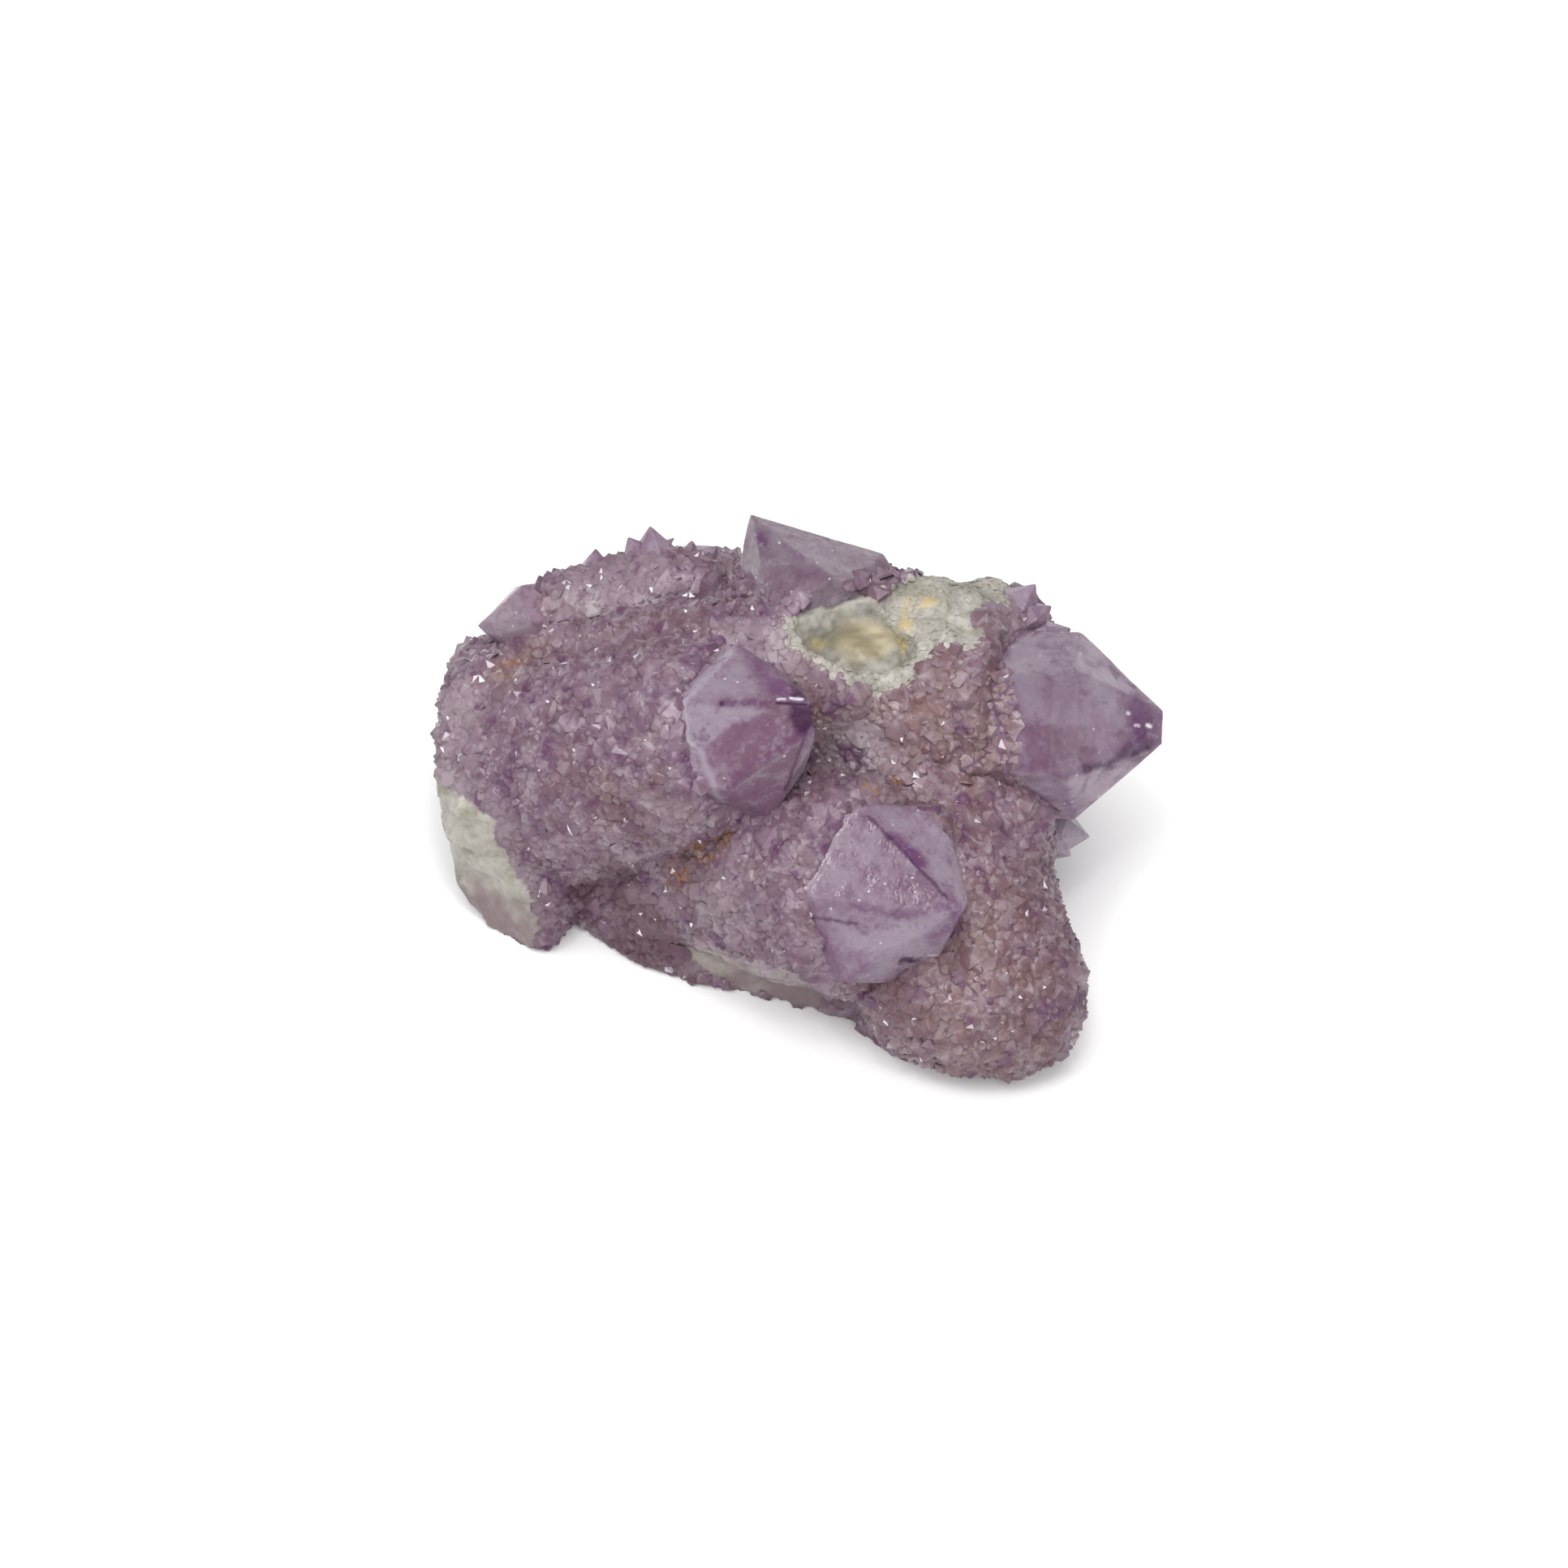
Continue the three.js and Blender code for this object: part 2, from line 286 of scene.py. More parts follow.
CANDLES: dict[Host, Candle] = {
    Host.LEFT: Candle(
        QuartzPoint((5.4, 8.6, 9.2), (0.75, 0.16, 0.64), 30, 9.3, (0.2, 1.6, 0.4, 0, 1.6, 0), 26),
        ((15.8, 10), (17, 11.4), (23, 12.6), (38, 13.9), (53, 13.6)),
    ),
    Host.FRONT: Candle(
        QuartzPoint((21.3, -15.4, 13.2), (0.56, -0.12, 0.82), 8, 10.9, (0, 0.3, 0, 0, 0, 0), 24),
        ((17.5, 11.4), (19.5, 13), (29, 13.6), (43, 13)),
        (1.3, -0.4, -0.8),
        (0.66, -0.14, 0.73),
    ),
    Host.RIGHT: Candle(
        QuartzPoint((49.9, 6.8, -12), (0.99, -0.03, 0.14), 30, 10.2, (0.2, 1.7, 0.4, 0.4, 1.7, 0.3), 42),
        ((23, 10.8), (24.4, 12.8), (30, 13.9), (46, 13.4), (60, 11)),
        (0, 2.6, -1),
    ),
    Host.BACK: Candle(
        QuartzPoint((-4.4, 34.9, -12), (-0.5, 0.84, 0.2), 30, 9.8, (0.4, 0.2, 1.0, 1.2, 0.6, 0.4), 26),
        ((15.6, 10), (17.2, 11), (24, 11.2), (36, 11)),
    ),
    Host.RIDGE: Candle(
        QuartzPoint((-38.8, 19.6, -22), (-0.98, -0.1, 0.16), 0, 4.6, (0.2, 0.4, 0.1, 0.2, 0.1, 0.3), 14),
        ((8.5, 4.5), (10.5, 5.3), (24, 6), (34, 6)),
    ),
}

# Rounded masses with no clear point, each wrapped round a few balls: across, up, toward, radius.
MASSES: dict[str, tuple[tuple[float, float, float, float], ...]] = {
    "front_lobe": (
        (19, -4, -15, 10.6), (19.6, -15, -9, 11.4), (19, -24.5, -6.6, 9.8), (23.6, -24.8, -6.6, 11.2),
        (27.2, -25.9, -7.4, 10.2),
    ),
    "right_shoulder": ((14.6, 17.8, -17, 8.6), (20, 16.5, -17, 9.4), (25, 17, -22, 8.6), (14, 4, -15, 10.4)),
    "under_right": ((23, 2, -17, 10), (24.6, -7.4, -13, 8.8)),
    "back_ridge": ((-25, 20, -26, 6.4), (-12, 22.4, -24, 6.6), (-16, 23.4, -27, 6.2)),
    "back_valley": ((-30, 13, -24, 7), (-7, 13.4, -11.4, 9.4), (5, 13.6, -10.6, 9)),
    "middle": ((-8, 8, -22, 14), (12, 14, -18, 9.6), (0, 18, -22, 9.6)),
    "left_foot": ((-33.1, -10.5, -21.5, 7.9), (-32.3, -14.9, -22.6, 5.9)),
    "left_end": ((-35.2, 8.5, -21, 7.7), (-34.4, 10, -23, 6), (-37.2, 14, -29, 4.2), (-33.8, -1, -19, 8.4),
        (-30, 2, -20, 8)),
}  # fmt: skip

# The broken roots under the crust: a height, and a footprint on the table in the cluster's frame.
ROOTS: tuple[tuple[float, tuple[Pair, ...]], ...] = (
    (
        19,
        (
            (-29, 2.4), (-24.5, -1.6), (-18, -6.8), (-12, -9.4), (-4, -10.8), (4, -14.6), (12, -16.6),
            (26, -17),
            (32, -10), (33, 2), (31, 12), (20, 22), (2, 27), (-18, 28), (-31, 20),
        ),
    ),
    (8, ((9.5, -17.5), (13.5, -21.5), (19, -23.6), (28, -23), (32, -16), (30, -6), (12, -6))),
)  # fmt: skip
ROOT_TOP_SHARE = 0.8

# Small crystals that stand clear of the crust: tip, lean and radius.
SMALL_POINTS: tuple[tuple[Triple, Triple, float], ...] = (
    ((-16.8, 32.4, -25), (-0.15, 0.95, 0.2), 3.2),
    ((-8.2, 29.8, -24), (0.7, 0.6, 0.2), 2.1),
    ((-11.5, 30.6, -24.5), (0.1, 0.9, 0.2), 2.6),
    ((-19.6, 31, -25.4), (-0.5, 0.85, 0.2), 2.4),
    ((-23.6, 29.6, -26), (0, 1, 0.1), 1.8),
    ((-21.6, 27.6, -25), (-0.5, 0.8, 0.3), 1.8),
    ((31.4, 25, -17), (0.6, 0.8, 0.2), 2.8),
    ((33.4, 22.2, -16.4), (0.8, 0.5, 0.2), 2.0),
    ((35.8, 19.4, -16), (0.85, 0.4, 0.2), 2.4),
    ((12.6, 1, -3), (0.6, 0.6, 0.6), 2.4),
    ((9.6, -0.4, -3), (-0.2, 0.7, 0.6), 2.0),
    ((38.2, -6.6, -18), (0.95, -0.15, 0.2), 2.7),
    ((35.6, -4.8, -17), (0.8, 0.2, 0.4), 2.0),
    ((35.8, -9, -17), (0.8, -0.5, 0.3), 2.3),
)

# The pocket where a crystal has broken away: height, half length and half width of each level.
POCKET_CENTRE: Pair = (9.4, 13.9)
POCKET_LEVELS: tuple[Triple, ...] = ((44, 9.6, 6), (39, 8.2, 4.7), (34, 6, 3.5), (31.5, 3.4, 1.8))

POCKET_FLOOR: Pair = (10.0, 17.9)
POCKET_FLOOR_SIZE: Pair = (4.0, 2.5)
OCHRE_SPOTS: tuple[tuple[Pair, Pair], ...] = (
    ((15.0, 20.2), (1.1, 2.0)), ((14.6, 17.4), (0.8, 1.4)), ((17.0, 22.6), (2.6, 0.8)),
    ((4.2, 17.4), (1.6, 0.8)),
)  # fmt: skip

# The flat broken face at the left end.
BREAK_PLACE: Triple = (-34.4, -9.8, -13.6)
BREAK_FACING: Triple = (-0.6, -0.56, 0.57)
BREAK_KNOB: Pair = (-40.2, -6.0)
BREAK_KNOB_SIZE: Pair = (4.0, 4.0)
BREAK_KNOB_RISE = 2.0

# The part of the layout where the left end shows that break; crust has grown over the rest of it.
BREAK_OUTLINE: tuple[Pair, ...] = (
    (-47, 2.4), (-43.2, 0.8), (-40.7, -1.2), (-38.4, -2.4), (-36.6, -4.2), (-35.4, -6.2), (-34.4, -8.4),
    (-33.4, -10.9), (-32.6, -12.8), (-31.2, -14.6), (-30.3, -17.1), (-30, -18.1), (-31.6, -24), (-47, -24),
)  # fmt: skip

# Outlines across and up the layout of the other places where the quartz is broken bare.
BARE_OUTLINES: tuple[tuple[Pair, ...], ...] = (
    (
        (0.2, 19.4), (2.9, 21.8), (5.8, 22.8), (9.1, 23.3), (12.4, 23.8), (15, 24.8), (17.6, 26), (19.4, 28),
        (30, 26.6), (28.2, 23), (25.4, 22.6), (24.2, 20.8), (24.8, 18.6), (23, 16.8), (20.2, 17.4),
        (18.4, 18),
        (16.4, 17.2), (14.9, 15.8), (12.6, 15), (9.4, 14.5), (6.3, 15), (3.4, 15.6), (1.6, 17.4),
    ),
    ((-14, -19.4), (-6, -21.4), (1, -23.6), (5, -25), (4.6, -28.6), (-2, -26.4), (-9, -24)),
)  # fmt: skip
BARE_DEPTH = -30.0  # bare places lie nearer to the camera than this
BARE_RAGGED: Pair = (2.2, 0.9)  # the size of the swings of their edges, and how far they go
BARE_MARGIN = 0.4  # how far crystals keep from them, and grains reach past them
POCKET_RIM = 0.9  # how far round the pocket the quartz is bare
POCKET_BELOW = 1.5  # how far below its floor
BREAK_DEPTH = 9.0  # how far behind the flat broken face its outline still counts

# How the colours of the broken places fade: the share in the middle, and its fall over one size.
SUNK_FADE: Pair = (2.6, 2.2)
OCHRE_FADE: Pair = (1.5, 1.3)
OCHRE_SHARE = 0.9
FLUSH_LEFT = -18.0  # left of this the broken quartz is mauve near the table
FLUSH_TOP: Pair = (9.0, 6.0)  # that begins at this height, and is full so much lower
FLUSH_FRONT = -15.0  # below this up the layout it is veiled in mauve
VEIL: Pair = (0.75, 0.9)  # the veil's share, and the most it can be
VEIL_RISE: Pair = (-4.0, 20.0)  # right of this it grows, by a whole share over so many mm


class Slot(Enum):
    """Slot names for the finishes; no piece here is given one."""

    CRUST = "crystal_crust"
    POINT = "clear_point"
    BROKEN = "broken_quartz"


def mesh_of(name: str, points: np.ndarray, faces: Sequence[Sequence[int]]) -> bpy.types.Mesh:
    """A mesh in metres from points in mm.

    Args:
        name: The mesh's name.
        points: Its points, in mm.
        faces: The points of each face.

    Returns:
        The mesh.
    """
    mesh = bpy.data.meshes.new(name)
    mesh.from_pydata((points * MM).tolist(), [], faces)
    mesh.update()
    return mesh


def hull(points: np.ndarray) -> Form:
    """The smallest closed form with no hollows round some points.

    Args:
        points: The points, one to a row.

    Returns:
        The form's corners, and the corners of each of its faces.
    """
    form = bmesh.new()
    for point in points:
        form.verts.new(point)
    found = bmesh.ops.convex_hull(form, input=form.verts)
    spare = {v for v in found["geom_interior"] + found["geom_unused"] if isinstance(v, bmesh.types.BMVert)}
    bmesh.ops.delete(form, geom=list(spare), context="VERTS")
    bmesh.ops.remove_doubles(form, verts=form.verts, dist=NEAR)
    bmesh.ops.dissolve_limit(form, angle_limit=math.radians(FLAT), verts=form.verts, edges=form.edges)
    bmesh.ops.recalc_face_normals(form, faces=form.faces)
    form.verts.index_update()
    corners = np.array([v.co[:] for v in form.verts])
    faces = [[v.index for v in face.verts] for face in form.faces]
    form.free()
    return corners, faces


def joined(forms: Iterable[Form]) -> Form:
    """Several forms as one.

    Args:
        forms: The forms.

    Returns:
        All their corners, and the corners of each of their faces.
    """
    points: list[np.ndarray] = []
    faces: list[list[int]] = []
    start = 0
    for corners, sides in forms:
        points.append(corners)
        faces += [[start + k for k in side] for side in sides]
        start += len(corners)
    return np.concatenate(points), faces


def shown(name: str, mesh: bpy.types.Mesh) -> bpy.types.Object:
    """Puts a mesh into the scene.

    Args:
        name: The object's name.
        mesh: The mesh.

    Returns:
        The object.
    """
    made = bpy.data.objects.new(name, mesh)
    bpy.context.scene.collection.objects.link(made)
    return made


def settle(made: bpy.types.Object) -> None:
    """Works an object's modifiers into its mesh.

    Args:
        made: The object.
    """
    graph = bpy.context.evaluated_depsgraph_get()
    mesh = bpy.data.meshes.new_from_object(made.evaluated_get(graph))
    made.modifiers.clear()
    made.data = mesh


def grow_skin(made: bpy.types.Object, size: float) -> None:
    """Adds a modifier that makes one skin of everything in an object, with faces of a size in mm."""
    skin = made.modifiers.new("Grown together", "REMESH")
    skin.mode, skin.voxel_size = "VOXEL", size * MM


def take_away(made: bpy.types.Object, cutter: bpy.types.Object) -> None:
    """Adds a modifier that breaks the form of one object out of another."""
    cut = made.modifiers.new("Broken", "BOOLEAN")
    cut.operation, cut.solver, cut.object = "DIFFERENCE", "MANIFOLD", cutter


def ball(rounds: int) -> Form:
    """A round form of flat triangles, with a radius of 1.

    Args:
        rounds: How many times its triangles are parted, from 1.

    Returns:
        Its corners, and the corners of each of its faces.
    """
    form = bmesh.new()
    bmesh.ops.create_icosphere(form, subdivisions=rounds, radius=1.0)
    corners = np.array([v.co[:] for v in form.verts])
    faces = [[v.index for v in face.verts] for face in form.faces]
    form.free()
    return corners, faces


def dress(made: bpy.types.Object, material: bpy.types.Material) -> None:
    """Gives a piece its finish and its place in the frame.

    Args:
        made: The piece.
        material: Its finish.
    """
    made.data.materials.clear()
    made.data.materials.append(material)
    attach(made, BODY)
    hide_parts(NODE)
    log.info("%s: %d faces", made.name, len(made.data.polygons))


def inside_outline(spots: np.ndarray, outline: Sequence[Pair]) -> np.ndarray:
    """Which spots lie inside an outline.

    Args:
        spots: How far across and up each spot is.
        outline: The outline's corners in order.

    Returns:
        True for each spot that is inside.
    """
    inside = np.zeros(len(spots), bool)
    across, up = spots[:, 0], spots[:, 1]
    for (x0, y0), (x1, y1) in zip(outline, (*outline[1:], outline[0])):
        crosses = (y0 > up) != (y1 > up)
        inside ^= crosses & (across < (x1 - x0) * (up - y0) / (y1 - y0 + TINY) + x0)
    return inside


def distance_to(spots: np.ndarray, outline: Sequence[Pair], closed: bool) -> np.ndarray:
    """How far each spot is from a line through some corners.

    Args:
        spots: How far across and up each spot is.
        outline: The corners in order.
        closed: Whether the line goes back to its first corner.

    Returns:
        The distance of each spot.
    """
    ends = (*outline[1:], outline[0]) if closed else outline[1:]
    away = np.full(len(spots), np.inf)
    for start, end in zip(np.array(outline, float), np.array(ends, float)):
        line = end - start
        share = np.clip((spots - start) @ line / (line @ line + TINY), 0, 1)
        away = np.minimum(away, np.linalg.norm(spots - start - share[:, None] * line, axis=1))
    return away


def fans(faces: Sequence[Sequence[int]]) -> np.ndarray:
    """The faces of a form as triangles."""
    return np.array([(face[0], face[k], face[k + 1]) for face in faces for k in range(1, len(face) - 1)])


def scattered(
    points: np.ndarray,
    trios: np.ndarray,
    rng: np.random.Generator,
    count: int,
    normals: np.ndarray | None = None,
) -> tuple[np.ndarray, np.ndarray]:
    """Random places spread evenly over triangles.

    Args:
        points: The points that the triangles share.
        trios: The three points of each triangle.
        rng: The source of random numbers.
        count: How many places.
        normals: The direction at each point, where the surface is curved.

    Returns:
        The places, and the outward directions there.
    """
    a, b, c = (points[trios[:, k]] for k in range(3))
    across = np.cross(b - a, c - a)
    area = np.linalg.norm(across, axis=1).cumsum()
    pick = np.searchsorted(area, rng.random(count) * area[-1])
    r, s = np.sqrt(rng.random(count)), rng.random(count)
    weights = np.stack([1 - r, r * (1 - s), r * s], axis=1)
    places = np.einsum("nk,nkd->nd", weights, points[trios[pick]])
    out = across[pick] if normals is None else np.einsum("nk,nkd->nd", weights, normals[trios[pick]])
    return places, unit(out)


def wavering(points: np.ndarray, size: float) -> np.ndarray:
    """A smooth random value from about -1 to 1 at each point, that changes over a size in mm."""
    return np.array([noise.noise(Vector(point / size)) for point in points])


def waves(points: np.ndarray, *layers: Pair) -> np.ndarray:
    """Wavering values laid over each other, each with its size in mm and its height."""
    return sum(height * wavering(points, size) for size, height in layers)


def straying(points: np.ndarray, shifts: Sequence[float], *layers: Pair) -> np.ndarray:
    """Waves in several directions at once, each taken where the points are shifted by so many mm."""
    return np.stack([waves(points + shift, *layers) for shift in shifts], axis=1)


def bare(points: np.ndarray, edge: float = 0.0) -> np.ndarray:
    """Which places of the surface are broken quartz with no crust.

    Args:
        points: Places on the surface.
        edge: How far the bare places are widened.

    Returns:
        True for each bare place.
    """
    seen = LAYOUT.seen(points)
    ragged = seen[:, :2] + straying(points, (0, 50), BARE_RAGGED)
    pocket = points[:, :2] - POCKET_CENTRE
    _, long, wide = POCKET_LEVELS[1]
    wider = POCKET_RIM + edge
    rim = np.hypot(pocket[:, 0] / (long + wider), pocket[:, 1] / (wide + wider))
    found = (rim < 1 + waves(points, (2.0, 0.1))) & (points[:, 2] > POCKET_LEVELS[-1][0] - POCKET_BELOW)
    off = (points - LAYOUT.place(BREAK_PLACE)) @ unit(LAYOUT.way(BREAK_FACING))
    near = seen[:, 2] > BARE_DEPTH + waves(points, (4.0, 4))
    for outline, reached in (*((part, near) for part in BARE_OUTLINES), (BREAK_OUTLINE, off > -BREAK_DEPTH)):
        within = inside_outline(ragged, outline)
        if edge:
            within |= distance_to(ragged, outline, closed=True) < edge
        found |= within & reached
    return found


@dataclass(frozen=True)
class Speckle:
    """Noise as a share: how fine and how detailed it is, and the values where it starts and is full."""

    scale: float
    detail: float
    start: float
    full: float


class Graph:
    """Adds and joins the nodes of one shader tree."""

    def __init__(self, tree: bpy.types.NodeTree) -> None:
        """Starts on a tree."""
        self.tree = tree

    def node(self, kind: str, **settings: object) -> bpy.types.Node:
        """Adds a node.

        Args:
            kind: Its type, without the leading ShaderNode.
            **settings: Its own settings by name.

        Returns:
            The node.
        """
        made = self.tree.nodes.new("ShaderNode" + kind)
        for name, setting in settings.items():
            setattr(made, name, setting)
        made.location = (220 * (len(self.tree.nodes) % 8), -240 * (len(self.tree.nodes) // 8))
        return made

    def feed(self, socket: bpy.types.NodeSocket, value: Value) -> None:
        """Joins a socket to another, or sets it.

        Args:
            socket: The socket.
            value: The other socket, or a number, vector or colour.
        """
        if isinstance(value, bpy.types.NodeSocket):
            self.tree.links.new(value, socket)
        else:
            socket.default_value = value

    def fed(self, kind: str, inputs: dict[str | int, Value], **settings: object) -> bpy.types.Node:
        """Adds a node and feeds its inputs.

        Args:
            kind: Its type, without the leading ShaderNode.
            inputs: What goes into each input, by name or number.
            **settings: Its own settings by name.

        Returns:
            The node.
        """
        made = self.node(kind, **settings)
        for name, value in inputs.items():
            self.feed(made.inputs[name], value)
        return made

    def math(self, operation: str, a: Value, b: Value = 0.0, clamp: bool = False) -> bpy.types.NodeSocket:
        """The result of a sum on one or two numbers."""
        return self.fed("Math", {0: a, 1: b}, operation=operation, use_clamp=clamp).outputs[0]

    def add(self, a: Value, b: Value, clamp: bool = False) -> bpy.types.NodeSocket:
        """One number added to another."""
        return self.math("ADD", a, b, clamp)

    def less(self, a: Value, b: Value, clamp: bool = False) -> bpy.types.NodeSocket:
        """The first number less the second."""
        return self.math("SUBTRACT", a, b, clamp)

    def times(self, a: Value, b: Value) -> bpy.types.NodeSocket:
        """One number times another."""
        return self.math("MULTIPLY", a, b)

    def most(self, a: Value, b: Value) -> bpy.types.NodeSocket:
        """The larger of two numbers."""
        return self.math("MAXIMUM", a, b)

    def vector(self, operation: str, *inputs: Value) -> bpy.types.Node:
        """A node for a sum on vectors."""
        return self.fed("VectorMath", dict(enumerate(inputs)), operation=operation)

    def mix(self, share: Value, a: Value, b: Value) -> bpy.types.NodeSocket:
        """A colour part of the way from a to b."""
        return self.fed("Mix", {0: share, 6: a, 7: b}, data_type="RGBA").outputs[2]

    def spread(self, value: Value, low: Value, high: Value) -> bpy.types.NodeSocket:
        """The value as a smooth share from 0 at low to 1 at high."""
        limits = {"Value": value, "From Min": low, "From Max": high}
        return self.fed("MapRange", limits, interpolation_type="SMOOTHSTEP").outputs[0]

    def noise(self, scale: Value, detail: float, distortion: float = 0.0) -> bpy.types.NodeSocket:
        """Soft noise over the object's own space."""
        inputs = {"Vector": self.place(), "Scale": scale, "Detail": detail, "Distortion": distortion}
        return self.fed("TexNoise", inputs).outputs["Fac"]

    def speckle(self, speckle: Speckle) -> bpy.types.NodeSocket:
        """Noise as a share from 0 to 1."""
        return self.spread(self.noise(speckle.scale, speckle.detail), speckle.start, speckle.full)

    def cells(self, scale: Value) -> bpy.types.NodeSocket:
        """How far each place is from the middle of its cell."""
        inputs = {"Vector": self.place(), "Scale": scale}
        return self.fed("TexVoronoi", inputs, feature="F1").outputs["Distance"]

    def place(self) -> bpy.types.NodeSocket:
        """The place on the object, in metres."""
        return self.node("TexCoord").outputs["Object"]

    def attribute(self, name: str) -> bpy.types.NodeSocket:
        """A number that the mesh carries."""
        return self.node("Attribute", attribute_name=name).outputs["Fac"]

    def group(self, tree: bpy.types.NodeTree, **values: Value) -> bpy.types.Node:
        """Places a group and feeds its inputs by name, with _ for a space."""
        inputs = {name.replace("_", " "): value for name, value in values.items()}
        return self.fed("Group", inputs, node_tree=tree)


class Kind(Enum):
    """The kinds of socket that a shader group has."""

    NUMBER = "NodeSocketFloat"
    COLOUR = "NodeSocketColor"
    VECTOR = "NodeSocketVector"


def shader_group(
    name: str, inputs: dict[str, Kind], outputs: dict[str, Kind]
) -> tuple[Graph, bpy.types.Node, bpy.types.Node]:
    """Starts a shader node group.

    Args:
        name: The group's name.
        inputs: Its inputs by name.
        outputs: Its outputs by name.

    Returns:
        A graph on the group, its input node and its output node.
    """
    tree = bpy.data.node_groups.new(name, "ShaderNodeTree")
    for sockets, way in ((inputs, "INPUT"), (outputs, "OUTPUT")):
        for socket, kind in sockets.items():
            tree.interface.new_socket(socket, in_out=way, socket_type=kind.value)
    start, end = tree.nodes.new("NodeGroupInput"), tree.nodes.new("NodeGroupOutput")
    return Graph(tree), start, end


TINTED = {"Colour": Kind.COLOUR, "Gloss": Kind.NUMBER}
CRUST_COLOURS = (
    "mauve_pale", "mauve_deep", "brown_pale", "brown_deep", "milk", "shade", "tip", "stain", "flash",
)  # fmt: skip


class Speckles(Enum):
    """The noises in the crust's and the broken quartz's own colours, each for one use."""

    DRIFT = Speckle(220.0, 6.0, 0.34, 0.66)
    SWING = Speckle(240.0, 3.0, 0.3, 0.7)
    BLOT = Speckle(700.0, 2.0, 0.35, 0.6)
    ZONE = Speckle(300.0, 2.5, 0.58, 0.7)
    STAIN = Speckle(1100.0, 3.0, 0.46, 0.58)
    BROAD = Speckle(260.0, 3.0, 0.42, 0.7)
    SUGAR = Speckle(1300.0, 4.0, 0.35, 0.7)
    OCHRE = Speckle(700.0, 3.0, 0.3, 0.6)


